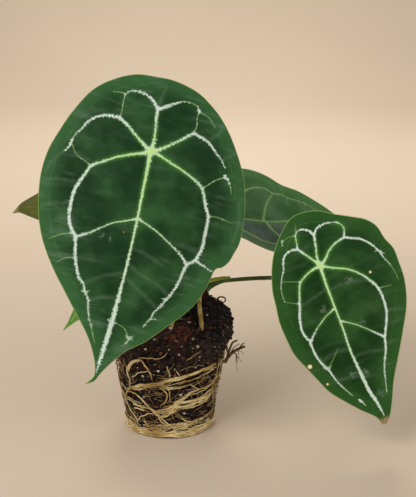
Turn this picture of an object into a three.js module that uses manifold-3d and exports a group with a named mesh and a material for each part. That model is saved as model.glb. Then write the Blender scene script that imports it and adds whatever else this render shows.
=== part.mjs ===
// Anthurium forgetii, lifted out of its nursery pot: a root ball that keeps the pot's shape, the pale
// roots that circled inside the pot, a short stem, and five shield-shaped leaves with silver veins.
// Millimetres, +Z up, origin at the middle of the root ball's flat underside, -Y towards the viewer.
import * as THREE from "three";
import { mergeVertices } from "three/addons/utils/BufferGeometryUtils.js";
import Module from "manifold-3d";

const wasm = await Module();
wasm.setup();

const GAP = 0.3; // clearance between neighbouring pieces

// Root ball: a cone cut by the pot, with a mound of mix round the stem.
const BALL = {
  bottomRadius: 29.5,
  topRadius: 42.5,
  height: 75,
  shoulder: 70,
  crumble: 1.8,
  lumps: 2.4,
  roundedRim: 3.5,
};
const MOUND = { x: 24, y: 8, height: 18, spread: 17 };
const BULGE = { out: 5, from: 52, to: 74 }; // loose mix that leans out on the right, over the pot's rim
const MIX_GRID = { columns: 36, rows: 8, rings: 6 };

// Stem, and how its radius falls from the soil to the crown.
const STEM_ROUTE = [[22, 9, 72], [23.5, 8, 90], [21.5, 7.5, 104]];
const STEM_RADIUS = { base: 6.5, top: 4.2 };

// Blade: thickness, the rib below each vein, and how far the lamina swells between the veins.
const BLADE = { thickness: 0.7, rib: 0.5, ribReach: 2.5, swell: 0.8, swellReach: 10 };
const NET = { lift: 0.35, thickness: 0.6 };
const MESH_STEP = { outline: 10, vein: 11, lattice: 12, clear: 5, least: 0.8 };
const TIE_NUDGE = 1e-3; // keeps four points of a flat mesh off one circle
const SLIVER = 4e-3; // corners of a join that are nearer than this become one
const BLUNT = 0.5; // how far a limb's end point stands out, in radii

// Petioles: radius at the crown, along the stalk, and at the swollen joint behind the blade.
const PETIOLE = { base: 2.8, stalk: 1.25, joint: 1.9, flare: 22, jointLength: 9, sides: 8, step: 8 };

// Half widths of the silver bands, from where a vein starts to where it ends.
const BAND = {
  midrib: [1.9, 0.9],
  arch: [1.6, 0.9],
  rung: [0.8, 0.8],
  crownRib: [1.2, 0.9],
  crownArch: [1.1, 0.8],
};

// Each leaf lies on a bent sheet: s runs from the star, where the veins meet above the petiole, to the
// tip, and w across the blade. Outlines go round the leaf, from the rear edge down one side to the tip
// and back up the other. Vein routes are listed in the same two coordinates.
const LARGE_OUTLINE = [
  [-51, 8], [-50, 21], [-44, 34], [-34, 46], [-16, 56], [0, 62], [14, 66], [29, 67], [44, 65], [56, 62],
  [72, 55], [88, 44], [103, 31], [126, 11], [134, 6], [143, 2], [150, 1], [156, 5], [153, 0], [147, -3],
  [139, -8], [130, -15], [121, -26], [108, -38], [99, -46], [89, -53], [76, -58], [64, -61], [62, -65],
  [57, -69], [51, -71], [44, -73], [32, -73], [19, -71], [5, -67], [-6, -62], [-16, -56], [-26, -49],
  [-36, -40], [-43, -31], [-48, -22], [-51, -8],
];
const LARGE_VEINS = [
  { band: "midrib", route: [[0, 0], [22, -1], [44, -2], [77, -4], [99, -5], [121, -5], [146, -1]] },
  {
    band: "arch",
    route: [
      [0, 0], [3, 5], [9, 22], [18, 35], [30, 41], [45, 43], [63, 37], [85, 29], [103, 17], [126, 7],
    ],
  },
  {
    band: "arch",
    route: [
      [0, 0], [4, -14], [9, -30], [21, -42], [31, -47], [44, -48], [57, -47], [66, -41], [89, -34],
      [112, -22],
    ],
  },
  { band: "rung", route: [[44, -2], [51, 12], [56, 20], [65, 35]] },
  { band: "rung", route: [[44, -3], [49, -16], [61, -36], [65, -41]] },
  { band: "crownRib", route: [[0, 0], [-12, 0], [-29, 2]] },
  { band: "crownArch", route: [[-29, 2], [-38, 13], [-38, 20], [-34, 25]] },
  { band: "crownArch", route: [[-29, 2], [-37, -9], [-40, -19], [-36, -25]] },
  { band: "crownRib", route: [[0, 0], [-8, 12], [-17, 24], [-15, 39], [-5, 47], [12, 56]] },
  { band: "crownRib", route: [[0, 0], [-7, -11], [-20, -24], [-17, -35], [-3, -51]] },
];
const RIGHT_OUTLINE = [
  [-38, -1], [-37, 6], [-31, 15], [-24, 22], [-14, 29], [3, 36], [14, 38], [26, 40], [38, 40], [50, 39],
  [61, 35], [72, 31], [82, 27], [92, 20], [102, 12], [111, 4], [118, 1], [115, -4], [105, -10],
  [91, -17], [77, -26], [63, -35], [50, -43], [41, -47], [30, -50], [19, -51], [8, -51], [0, -48],
  [-10, -46], [-17, -41], [-23, -32], [-29, -22], [-35, -13],
];
const RIGHT_VEINS = [
  { band: "midrib", route: [[0, 0], [26, 1], [46, 2], [75, 2], [92, 1], [110, -1]] },
  {
    band: "arch",
    route: [[0, 0], [1, 6], [6, 17], [20, 23], [37, 28], [53, 26], [77, 19], [100, 8]],
  },
  {
    band: "arch",
    route: [[0, 0], [4, -8], [15, -23], [29, -30], [45, -30], [62, -22], [80, -14], [98, -9]],
  },
  { band: "rung", route: [[31, 2], [37, 16], [45, 26]] },
  { band: "rung", route: [[40, 1], [50, -11], [61, -22]] },
  { band: "crownRib", route: [[0, 0], [-13, -3], [-20, -4]] },
  { band: "crownArch", route: [[-20, -4], [-28, 3], [-21, 8], [-16, 9]] },
  { band: "crownArch", route: [[-20, -4], [-25, -12], [-23, -22], [-12, -23]] },
  { band: "crownRib", route: [[0, 0], [-11, 6], [-17, 15], [-6, 25], [14, 33]] },
  { band: "crownRib", route: [[0, 0], [-8, -10], [-11, -22], [0, -38], [18, -44]] },
];
const REAR_OUTLINE = [
  [-38, 4], [-30, 12], [-16, 22], [0, 32], [8, 42], [17, 50], [26, 52], [38, 50], [52, 45], [66, 37],
  [80, 28], [94, 17], [104, 8], [112, 1], [108, -8], [100, -18], [89, -27], [78, -34], [69, -39],
  [55, -43], [44, -51], [33, -55], [20, -55], [6, -52], [-10, -45], [-24, -34], [-34, -20], [-38, -6],
];
const REAR_VEINS = [
  { band: "midrib", route: [[0, 0], [14, 0], [34, -1], [56, -5], [80, -6], [104, -2]] },
  {
    band: "arch",
    route: [[0, 0], [3, 12], [13, 29], [26, 38], [38, 37], [54, 31], [78, 18], [94, 9]],
  },
  {
    band: "arch",
    route: [[0, 0], [8, -14], [22, -30], [39, -36], [48, -32], [72, -26], [94, -13]],
  },
  { band: "rung", route: [[30, -1], [34, -14], [45, -33]] },
  { band: "rung", route: [[31, 0], [32, 14], [36, 37]] },
  { band: "crownRib", route: [[0, 0], [-12, 0], [-22, 1]] },
  { band: "crownArch", route: [[-22, 1], [-28, -8], [-24, -24], [-14, -30]] },
  { band: "crownRib", route: [[0, 0], [-7, 7], [-12, 15], [-2, 25]] },
  { band: "crownRib", route: [[0, 0], [-8, -12], [-14, -24], [-8, -36], [14, -46]] },
];

const YOUNG_OUTLINE = [
  [-20, 0], [-17, 10], [-9, 17], [3, 21], [16, 20], [30, 15.5], [44, 10], [53, 6.5], [59, 3.5], [64, -3],
  [59, -3], [53, -6], [44, -11], [30, -18], [16, -22], [3, -22], [-9, -18], [-17, -10],
];
const LOW_OUTLINE = [
  [-18, 0], [-16, 9], [-8, 16], [3, 19], [15, 17.5], [28, 12], [38, 7], [46, 3.5], [53, 1.3], [59, 0],
  [53, -2], [46, -5], [38, -10], [28, -16], [15, -20], [3, -20], [-8, -16], [-16, -9],
];
const YOUNG_VEINS = [
  { band: "midrib", route: [[0, 0], [30, 0], [57, 0]] },
  { band: "arch", route: [[0, 0], [6, 9], [20, 13], [36, 9], [50, 3]] },
  { band: "arch", route: [[0, 0], [6, -9], [20, -13], [36, -9], [50, -3]] },
  { band: "crownRib", route: [[0, 0], [-13, 0]] },
  { band: "crownRib", route: [[0, 0], [-8, 9], [2, 17]] },
  { band: "crownRib", route: [[0, 0], [-8, -9], [2, -17]] },
];

// The angles are in degrees: the blade bends down towards its tip by droop and towards its rear edge by
// rear, its halves leave the midrib at fold and curl by cup as far as the half width.
const LEAVES = [
  {
    number: 1,
    bandScale: 1,
    star: [-9.5, -40, 208.4],
    towardsTip: [-0.232, -0.365, -0.902],
    faces: [0.1, -0.931, 0.351],
    tip: 155,
    rearLength: 50,
    halfWidth: 66,
    droop: 8,
    rear: 18,
    fold: -4,
    cup: -14,
    outline: LARGE_OUTLINE,
    veins: LARGE_VEINS,
    petiole: [[21.8, 6, 98], [18, 0, 120], [8, -9, 145], [-2, -20, 175], [-8, -29, 195]],
  },
  {
    number: 2,
    bandScale: 0.9,
    star: [102.7, -35, 128.9],
    towardsTip: [0.388, -0.242, -0.89],
    faces: [-0.014, -0.966, 0.256],
    tip: 115,
    rearLength: 42,
    halfWidth: 46,
    droop: 10,
    rear: 15,
    fold: 0,
    cup: -14,
    outline: RIGHT_OUTLINE,
    veins: RIGHT_VEINS,
    petiole: [
      [23, 8, 94], [27.5, 7.5, 99.2], [33, 8, 102.2], [38, 10, 103.2], [44, 11, 103.6], [57, 8, 105.7],
      [72, 0.5, 108.9], [88, -13, 115], [98, -24, 123],
    ],
  },
  {
    number: 3,
    bandScale: 0.8,
    star: [40.6, 35, 142.7],
    towardsTip: [0.929, 0.331, -0.166],
    faces: [0.267, -0.289, 0.919],
    tip: 108,
    rearLength: 37,
    halfWidth: 44,
    droop: 10,
    rear: 10,
    fold: 12,
    cup: -4,
    outline: REAR_OUTLINE,
    veins: REAR_VEINS,
    petiole: [[23.5, 10, 99], [28, 17, 115], [34, 27, 128], [38.5, 33, 135]],
  },
  {
    number: 4,
    bandScale: 0.6,
    star: [-54, 24, 160],
    towardsTip: [-0.94, 0.26, -0.175],
    faces: [-0.1, -0.72, 0.68],
    tip: 62,
    rearLength: 20,
    halfWidth: 25,
    droop: 6,
    rear: 8,
    fold: 5,
    cup: 12,
    outline: YOUNG_OUTLINE,
    veins: YOUNG_VEINS,
    petiole: [[20.5, 10, 99], [10, 16, 124], [-14, 21, 146], [-38, 24, 156], [-49, 25, 158]],
  },
  {
    number: 5,
    bandScale: 0.6,
    star: [-38, 4, 114.8],
    towardsTip: [-0.66, -0.1, -0.745],
    faces: [-0.45, -0.62, 0.64],
    tip: 58,
    rearLength: 18,
    halfWidth: 22,
    droop: 6,
    rear: 12,
    fold: 6,
    cup: -12,
    outline: LOW_OUTLINE,
    veins: YOUNG_VEINS.map(({ band, route }) => ({
      band,
      route: route.map(([s, w]) => [0.88 * s, 0.88 * w]),
    })),
    petiole: [[21, 7.5, 97], [9, 3.5, 105], [-8, 4, 113], [-24, 7, 115.5], [-33, 7, 114.2]],
  },
];

// Fat roots from the stem into the mix, and a fine one that curls above it.
const AERIAL_ROOTS = [
  { radius: 1.7, route: [[22, 5, 95], [21.7, -4, 97], [21.5, -12, 92.5], [22.6, -18, 84.5], [23.6, -20, 75]] },
  { radius: 1.6, route: [[21, 5, 91], [14, -4, 93], [7.5, -11, 88.5], [3, -15, 82], [1.2, -16.5, 74]] },
  { radius: 1.7, route: [[22, 12, 95], [17, 21, 96], [12, 29, 87], [10, 33, 74]] },
];
const CURLED_ROOT = {
  radius: 0.55,
  route: [[33, 5, 84], [33.4, 5, 90.4], [35.4, 5, 92.6], [38, 5, 93], [40, 5, 91.4], [39.4, 5, 89]],
};

// Sheath over the base of the right leaf's petiole, and the pointed bud at the crown.
const SHEATH = {
  route: [[28, 7.8, 101.2], [33, 8.4, 103], [38, 10, 103.7], [43.2, 11, 104]],
  startRadius: 3.2,
  endRadius: 1.7,
  thickness: 0.7,
  halfArc: 55,
  steps: 5,
  across: 6,
};
const BUD = { radius: 1.4, route: [[21.8, 8.4, 99], [21.3, 8.6, 108], [20.3, 9.4, 117]] };

// The circling roots lie on the cone. Each is a route of turn angle in degrees and height; -90 is the
// front. Rings close on themselves, and the short strands are laid twice round the ball.
const ROOTS = { clear: 0.7, step: 9.5, ringSides: 5, strandSides: 4 };
const RINGS = [
  { radius: 2.1, route: [[-150, 2.4], [-90, 2.3], [-30, 2.4], [30, 2.3], [90, 2.4], [150, 2.3]] },
  { radius: 1.2, route: [[-130, 8], [-90, 7], [-40, 9], [20, 7.5], [80, 9], [150, 7.2]] },
  {
    radius: 1.2,
    route: [
      [-137, 36], [-107, 43], [-79, 49], [-58, 52], [-29, 52], [15, 47], [65, 42], [115, 38], [170, 35],
    ],
  },
  {
    radius: 1.3,
    route: [
      [-111, 22], [-76, 28], [-42, 31], [-14, 33], [30, 30], [75, 24], [120, 20], [165, 22], [210, 25],
    ],
  },
];
const STRANDS = [
  { radius: 1.0, route: [[-141, 32], [-122, 34], [-99, 39], [-81, 41], [-63, 44], [-40, 52]] },
  { radius: 1.1, route: [[-118, 15], [-85, 20], [-62, 23], [-37, 26], [-18, 33]] },
  { radius: 1.1, route: [[-137, 57], [-136, 45], [-139, 36], [-148, 27], [-156, 17], [-158, 5]] },
  { radius: 1.2, route: [[-141, 34], [-127, 31], [-107, 19], [-93, 11], [-84, 4]] },
  { radius: 0.9, route: [[-110, 43], [-106, 51], [-112, 58], [-118, 62]] },
  { radius: 0.9, route: [[-98, 45], [-91, 36], [-97, 27], [-101, 22]] },
  { radius: 0.9, route: [[-26, 53], [-27, 43], [-32, 32], [-22, 20], [-10, 7]] },
];
const STRAND_TURNS = [0, 165];
const TUFT = [
  { radius: 1.1, route: [[40.5, -8, 49.5], [43, -5, 53], [48, -2, 55.5], [54, 0, 57.5]] },
  { radius: 0.8, route: [[43, -6, 52], [43.2, -3, 57], [45, -1, 60.5], [48.5, 0, 62]] },
  { radius: 0.7, route: [[46, -3, 54.5], [48, -5, 51.5], [47.5, -6, 48]] },
];

const COLOURS = {
  mix: { color: 0x2a1710, roughness: 1 },
  root: { color: 0xab8e5e, roughness: 0.75 },
  aerialRoot: { color: 0xa0844a, roughness: 0.7 },
  stem: { color: 0x5a3422, roughness: 0.8 },
  petiole: { color: 0x4f5c34, roughness: 0.5 },
  sheath: { color: 0x8a8a45, roughness: 0.7 },
  blade: { color: 0x2f5236, roughness: 0.6 },
  rearBlade: { color: 0x41594a, roughness: 0.5 },
  youngBlade: { color: 0x77793f, roughness: 0.5 },
  silver: { color: 0xc9dcc4, roughness: 0.5 },
  paleVein: { color: 0x9fbd83, roughness: 0.5 },
};

function material({ color, roughness }) {
  return new THREE.MeshStandardMaterial({ color, roughness, metalness: 0 });
}

function namedMesh(name, geometry, colour) {
  const mesh = new THREE.Mesh(geometry, material(COLOURS[colour]));
  mesh.name = name;
  return mesh;
}

function geometryFrom(points, faces) {
  const geometry = new THREE.BufferGeometry().setFromPoints(points);
  geometry.setIndex(faces.flat());
  return geometry;
}

// Solids for joins and cuts.
function solidFrom(geometry, weld = 1e-4) {
  const bare = new THREE.BufferGeometry();
  bare.setAttribute("position", geometry.getAttribute("position"));
  bare.setIndex(geometry.getIndex());
  const merged = mergeVertices(bare, weld);
  return new wasm.Manifold(
    new wasm.Mesh({
      numProp: 3,
      vertProperties: merged.getAttribute("position").array,
      triVerts: new Uint32Array(merged.getIndex().array),
    }),
  );
}

function geometryOf(solid) {
  const { vertProperties, triVerts } = solid.getMesh();
  const geometry = new THREE.BufferGeometry();
  geometry.setAttribute("position", new THREE.BufferAttribute(vertProperties, 3));
  geometry.setIndex(new THREE.BufferAttribute(triVerts, 1));
  return geometry;
}

// The main body of a solid, with any sealed hollow filled and any loose scrap dropped.
function mainBody(solid) {
  const pieces = solid.decompose();
  return pieces.reduce((best, one) => (one.volume() > best.volume() ? one : best));
}

function joined(geometries) {
  const solids = geometries.map((geometry) => solidFrom(geometry));
  const union = geometryOf(mainBody(solids.reduce((sum, one) => sum.add(one))));
  return geometryOf(mainBody(solidFrom(union, SLIVER)));
}

function cutBy(geometry, cutters) {
  const start = solidFrom(geometry);
  const rest = cutters.reduce((solid, cutter) => solid.subtract(solidFrom(cutter)), start);
  return geometryOf(mainBody(rest));
}

// A round limb along a smooth route, with a blunt point at each open end.
function limb(route, radiusAt, { sides, step, closed = false }) {
  const places = route.map((place) => new THREE.Vector3(...place));
  const curve = new THREE.CatmullRomCurve3(places, closed, "centripetal");
  const length = curve.getLength();
  const count = Math.max(2, Math.ceil(length / step));
  const frames = curve.computeFrenetFrames(count, closed);
  const rings = closed ? count : count + 1;
  const points = [];
  for (let i = 0; i < rings; i++) {
    const centre = curve.getPointAt(i / count);
    const radius = radiusAt((i / count) * length, length);
    for (let j = 0; j < sides; j++) {
      const angle = (2 * Math.PI * j) / sides;
      const across = frames.normals[i].clone().multiplyScalar(Math.cos(angle) * radius);
      const up = frames.binormals[i].clone().multiplyScalar(Math.sin(angle) * radius);
      points.push(centre.clone().add(across).add(up));
    }
  }
  const faces = [];
  for (let i = 0; i < count; i++) {
    const here = i * sides;
    const next = ((i + 1) % rings) * sides;
    for (let j = 0; j < sides; j++) {
      const k = (j + 1) % sides;
      faces.push([here + j, here + k, next + k], [here + j, next + k, next + j]);
    }
  }
  if (!closed) {
    const ends = [
      [0, -1],
      [count, 1],
    ];
    for (const [i, way] of ends) {
      const reach = way * BLUNT * radiusAt((i / count) * length, length);
      const apex = points.push(
        curve.getPointAt(i / count).addScaledVector(frames.tangents[i], reach),
      );
      for (let j = 0; j < sides; j++) {
        const a = i * sides + j;
        const b = i * sides + ((j + 1) % sides);
        faces.push(way < 0 ? [b, a, apex - 1] : [a, b, apex - 1]);
      }
    }
  }
  return geometryFrom(points, faces);
}

// A closed sheet between two grids of points that have the same rows and columns.
function sheet(front, back) {
  const rows = front.length;
  const columns = front[0].length;
  const points = [...front.flat(), ...back.flat()];
  const behind = rows * columns;
  const at = (i, j) => i * columns + j;
  const faces = [];
  const wall = (a, b) => faces.push([a, b, b + behind], [a, b + behind, a + behind]);
  for (let i = 0; i < rows - 1; i++) {
    for (let j = 0; j < columns - 1; j++) {
      const [a, b, c, d] = [at(i, j), at(i + 1, j), at(i + 1, j + 1), at(i, j + 1)];
      faces.push([a, b, c], [a, c, d]);
      faces.push([a + behind, c + behind, b + behind], [a + behind, d + behind, c + behind]);
    }
    wall(at(i + 1, 0), at(i, 0));
    wall(at(i, columns - 1), at(i + 1, columns - 1));
  }
  for (let j = 0; j < columns - 1; j++) {
    wall(at(0, j), at(0, j + 1));
    wall(at(rows - 1, j + 1), at(rows - 1, j));
  }
  return geometryFrom(points, faces);
}

// The bent sheet of one leaf.
class LeafSheet {
  constructor(leaf) {
    this.leaf = leaf;
    this.star = new THREE.Vector3(...leaf.star);
    this.along = new THREE.Vector3(...leaf.towardsTip).normalize();
    this.facing = new THREE.Vector3(...leaf.faces);
    this.facing.addScaledVector(this.along, -this.facing.dot(this.along)).normalize();
    this.across = new THREE.Vector3().crossVectors(this.along, this.facing);
    this.veinPoints = leaf.veins.flatMap((vein) => flatCurve(vein.route, 3));
  }

  bentPoint(s, w) {
    const { tip, rearLength, halfWidth, droop, rear, fold, cup } = this.leaf;
    const radians = THREE.MathUtils.degToRad;
    const bend = s > 0 ? radians(droop) / tip : radians(rear) / rearLength;
    const lean = bend * s;
    const curl = radians(cup) / halfWidth;
    const start = radians(fold);
    const end = start + curl * Math.abs(w);
    const side = (Math.sign(w) * (Math.sin(end) - Math.sin(start))) / curl;
    const rise = (Math.cos(start) - Math.cos(end)) / curl;
    return this.star
      .clone()
      .addScaledVector(this.along, Math.sin(lean) / bend + rise * Math.sin(lean))
      .addScaledVector(this.facing, rise * Math.cos(lean) - (1 - Math.cos(lean)) / bend)
      .addScaledVector(this.across, side);
  }

  normalAt(s, w) {
    const d = 0.5;
    const ahead = this.bentPoint(s + d, w).sub(this.bentPoint(s - d, w));
    const aside = this.bentPoint(s, w + d).sub(this.bentPoint(s, w - d));
    return aside.cross(ahead).normalize();
  }

  toVein(s, w) {
    return Math.min(...this.veinPoints.map(([vs, vw]) => Math.hypot(s - vs, w - vw)));
  }

  // The upper face, swollen between the veins, and any height above or below it.
  faceAt(s, w, above) {
    const { swell, swellReach } = BLADE;
    const swollen = swell * (1 - Math.exp(-((this.toVein(s, w) / swellReach) ** 2)));
    return this.bentPoint(s, w).addScaledVector(this.normalAt(s, w), swollen + above);
  }

  underside(s, w, below) {
    const rib = BLADE.rib * Math.exp(-((this.toVein(s, w) / BLADE.ribReach) ** 2));
    return this.faceAt(s, w, -BLADE.thickness - rib - below);
  }
}

// Points of a smooth flat curve through the listed ones, no further apart than the step.
function flatCurve(route, step, closed = false) {
  const places = route.map(([s, w]) => new THREE.Vector3(s, w, 0));
  const curve = new THREE.CatmullRomCurve3(places, closed, "centripetal");
  const spans = closed ? route.length : route.length - 1;
  const points = [];
  for (let i = 0; i < spans; i++) {
    const gap = places[i].distanceTo(places[(i + 1) % route.length]);
    const pieces = Math.ceil(gap / step);
    for (let j = 0; j < pieces; j++) points.push(curve.getPoint((i + j / pieces) / spans));
  }
  if (!closed) points.push(places.at(-1));
  return points.map(({ x, y }) => [x, y]);
}

function spacedLine(route, step) {
  const curve = new THREE.CatmullRomCurve3(
    route.map(([s, w]) => new THREE.Vector3(s, w, 0)),
    false,
    "centripetal",
  );
  const pieces = Math.max(2, Math.round(curve.getLength() / step));
  return curve.getSpacedPoints(pieces).map(({ x, y }) => [x, y]);
}

function insideOutline(outline, [s, w]) {
  let inside = false;
  outline.forEach(([s1, w1], i) => {
    const [s2, w2] = outline[(i + 1) % outline.length];
    if (w1 > w !== w2 > w && s < s1 + ((w - w1) / (w2 - w1)) * (s2 - s1)) inside = !inside;
  });
  return inside;
}

// The two edges of a vein's silver band, station by station.
function bandEdges({ band, route }, scale) {
  const [startHalf, endHalf] = BAND[band].map((half) => half * scale);
  const line = spacedLine(route, MESH_STEP.vein);
  return line.map(([s, w], i) => {
    const [s1, w1] = line[Math.max(i - 1, 0)];
    const [s2, w2] = line[Math.min(i + 1, line.length - 1)];
    const length = Math.hypot(s2 - s1, w2 - w1);
    const half = THREE.MathUtils.lerp(startHalf, endHalf, i / (line.length - 1));
    const [ds, dw] = [(-(w2 - w1) / length) * half, ((s2 - s1) / length) * half];
    return [
      [s + ds, w + dw],
      [s - ds, w - dw],
    ];
  });
}

// Delaunay triangles of flat points, by Bowyer and Watson, with a tiny nudge against ties.
function triangulate(flat) {
  const far = 1e4;
  const places = flat.map(([s, w], i) => [
    s + TIE_NUDGE * Math.sin(91 * i),
    w + TIE_NUDGE * Math.cos(57 * i),
  ]);
  const first = places.length;
  places.push([-far, -far], [far, -far], [0, far]);
  const holds = ([a, b, c], [s, w]) => {
    const rows = [a, b, c].map((i) => [places[i][0] - s, places[i][1] - w]);
    const [p, q, r] = rows.map(([x, y]) => x * x + y * y);
    const [[ax, ay], [bx, by], [cx, cy]] = rows;
    return ax * (by * r - q * cy) - ay * (bx * r - q * cx) + p * (bx * cy - by * cx) > 0;
  };
  let triangles = [[first, first + 1, first + 2]];
  for (let i = 0; i < first; i++) {
    const broken = triangles.filter((triangle) => holds(triangle, places[i]));
    const edges = openEdges(broken);
    triangles = triangles.filter((triangle) => !broken.includes(triangle));
    for (const [a, b] of edges) triangles.push([a, b, i]);
  }
  return triangles.filter((triangle) => triangle.every((i) => i < first));
}

// The directed edges that only one triangle has.
function openEdges(triangles) {
  const edges = new Map();
  for (const [a, b, c] of triangles)
    for (const [from, to] of [[a, b], [b, c], [c, a]]) edges.set(`${from} ${to}`, [from, to]);
  return [...edges.values()].filter(([from, to]) => !edges.has(`${to} ${from}`));
}

function gapTo(points, [s, w]) {
  return Math.min(...points.map(([ps, pw]) => Math.hypot(ps - s, pw - w)));
}

// Flat points of a blade: its outline, the edges of its vein bands, and a lattice between them.
function bladePoints(leaf, outline) {
  const points = [...outline];
  for (const vein of leaf.veins)
    for (const edge of bandEdges(vein, leaf.bandScale).flat())
      if (gapTo(points, edge) > MESH_STEP.least && insideOutline(outline, edge)) points.push(edge);
  const { lattice, clear } = MESH_STEP;
  const rowStep = lattice * Math.sin(Math.PI / 3);
  const reach = Math.ceil(Math.max(...outline.flat().map(Math.abs)) / rowStep);
  for (let row = -reach; row <= reach; row++)
    for (let column = -reach; column <= reach; column++) {
      const place = [row * rowStep, (column + (row % 2 ? 0.5 : 0)) * lattice];
      if (insideOutline(outline, place) && gapTo(points, place) > clear) points.push(place);
    }
  return points;
}

// The blade, or with some room above and below it, the space that it needs.
function bladeGeometry(leaf, above = 0, below = 0) {
  const surface = new LeafSheet(leaf);
  const outline = flatCurve(leaf.outline, MESH_STEP.outline, true);
  const flat = bladePoints(leaf, outline);
  const centre = (triangle, axis) => triangle.reduce((sum, i) => sum + flat[i][axis] / 3, 0);
  const triangles = triangulate(flat).filter((triangle) =>
    insideOutline(outline, [centre(triangle, 0), centre(triangle, 1)]),
  );
  const points = [
    ...flat.map(([s, w]) => surface.faceAt(s, w, above)),
    ...flat.map(([s, w]) => surface.underside(s, w, below)),
  ];
  const under = flat.length;
  const faces = [];
  for (const [a, b, c] of triangles) {
    faces.push([a, c, b], [a + under, b + under, c + under]);
  }
  for (const [a, b] of openEdges(triangles)) {
    faces.push([a, b, b + under], [a, b + under, a + under]);
  }
  return geometryFrom(points, faces);
}

// The silver net: one raised band for each vein, joined where they meet.
function netGeometry(leaf) {
  const surface = new LeafSheet(leaf);
  const heights = [NET.lift + NET.thickness, NET.lift];
  const bands = leaf.veins.map((vein) => {
    const [top, bottom] = heights.map((above) =>
      bandEdges(vein, leaf.bandScale).map((pair) => pair.map(([s, w]) => surface.faceAt(s, w, above))),
    );
    return sheet(top, bottom);
  });
  return joined(bands);
}

// A petiole runs from inside the stem to the star of its blade, and is cut clear of both.
function petioleRoute(leaf) {
  const end = new LeafSheet(leaf).faceAt(0, 0, -BLADE.thickness);
  return [...leaf.petiole, end.toArray()];
}

function petioleLimb(leaf, extra) {
  const radius = (at, length) => petioleRadius(at, length) + extra;
  return limb(petioleRoute(leaf), radius, PETIOLE);
}

function petioleRadius(at, length) {
  const { base, stalk, joint, flare, jointLength } = PETIOLE;
  const flared = THREE.MathUtils.smoothstep(flare - at, 0, flare) * (base - stalk);
  const fromEnd = length - at;
  const swollen = THREE.MathUtils.smoothstep(jointLength - fromEnd, 0, jointLength) * (joint - stalk);
  return stalk + flared + swollen;
}

function stemLimb(extra) {
  const { base, top } = STEM_RADIUS;
  const radius = (at, length) => THREE.MathUtils.lerp(base, top, at / length) + extra;
  return limb(STEM_ROUTE, radius, { sides: 10, step: 6 });
}

// A radius that falls by a share of itself along a limb.
function thinning(radius, share, extra = 0) {
  return (at, length) => radius * (1 - (share * at) / length) + extra;
}

function rootLimb({ radius, route }, extra) {
  const mesh = radius > 1 ? { sides: 8, step: 6 } : { sides: 5, step: 3.5 };
  return limb(route, thinning(radius, 0.2, extra), mesh);
}

function sheathGeometry() {
  const { route, startRadius, endRadius, thickness, halfArc, steps, across } = SHEATH;
  const places = route.map((place) => new THREE.Vector3(...place));
  const curve = new THREE.CatmullRomCurve3(places, false, "centripetal");
  const grid = (extra) => {
    const rows = [];
    for (let i = 0; i <= steps; i++) {
      const tangent = curve.getTangentAt(i / steps);
      const up = new THREE.Vector3(0, 0, 1).addScaledVector(tangent, -tangent.z).normalize();
      const aside = new THREE.Vector3().crossVectors(tangent, up);
      const radius = THREE.MathUtils.lerp(startRadius, endRadius, i / steps) + extra;
      const row = [];
      for (let j = 0; j <= across; j++) {
        const angle = THREE.MathUtils.degToRad(THREE.MathUtils.lerp(-halfArc, halfArc, j / across));
        const place = curve.getPointAt(i / steps).addScaledVector(up, radius * Math.cos(angle));
        row.push(place.addScaledVector(aside, radius * Math.sin(angle)));
      }
      rows.push(row);
    }
    return rows;
  };
  return sheet(grid(0), grid(thickness));
}

function coneRadius(z) {
  return BALL.bottomRadius + ((BALL.topRadius - BALL.bottomRadius) * z) / BALL.height;
}

// Crumbs: a fixed pattern between 0 and 1 over the ball's skin.
function crumble(angle, z) {
  const wave = Math.sin(5 * angle + 0.31 * z) * Math.cos(0.43 * z - 3 * angle);
  const ripple = Math.sin(11 * angle - 0.77 * z + 1.3);
  return 0.5 + 0.3 * wave + 0.2 * ripple;
}

function mixHeight(x, y) {
  const far2 = (x - MOUND.x) ** 2 + (y - MOUND.y) ** 2;
  return BALL.height + MOUND.height * Math.exp(-far2 / (2 * MOUND.spread ** 2));
}

function mixGeometry(cutters) {
  const { columns, rows, rings } = MIX_GRID;
  const points = [];
  const ringAt = (placeAt) => {
    for (let j = 0; j < columns; j++) points.push(placeAt((2 * Math.PI * j) / columns));
  };
  const onRadius = (angle, radius, z) =>
    new THREE.Vector3(radius * Math.cos(angle), radius * Math.sin(angle), z);
  const { shoulder } = BALL;
  for (let i = 0; i <= rows; i++) {
    const z = (shoulder * i) / rows;
    ringAt((angle) => {
      const bulge = BULGE.out * THREE.MathUtils.smoothstep(z, BULGE.from, BULGE.to);
      const lean = bulge * Math.max(0, Math.cos(angle));
      return onRadius(angle, coneRadius(z) + lean - BALL.crumble * crumble(angle, z), z);
    });
  }
  for (let i = 0; i < rings; i++) {
    const share = Math.cos((Math.PI / 2) * ((i + 0.6) / (rings + 0.3))); // rim first, then inwards
    ringAt((angle) => {
      const lean = BULGE.out * Math.max(0, Math.cos(angle));
      const radius = share * (coneRadius(shoulder) + lean - BALL.crumble);
      const place = onRadius(angle, radius, 0);
      const lumps = BALL.lumps * (crumble(angle, (i * BALL.height) / rows) - 0.5);
      place.z = mixHeight(place.x, place.y) + lumps - BALL.roundedRim * share ** 6;
      return place;
    });
  }
  const top = points.push(new THREE.Vector3(0, 0, mixHeight(0, 0))) - 1;
  const bottom = points.push(new THREE.Vector3(0, 0, 0)) - 1;
  const faces = [];
  const total = rows + rings + 1;
  for (let j = 0; j < columns; j++) {
    const k = (j + 1) % columns;
    for (let i = 0; i < total - 1; i++) {
      const here = i * columns;
      const next = here + columns;
      faces.push([here + j, here + k, next + k], [here + j, next + k, next + j]);
    }
    faces.push([(total - 1) * columns + j, (total - 1) * columns + k, top], [k, j, bottom]);
  }
  return cutBy(geometryFrom(points, faces), cutters);
}

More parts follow.
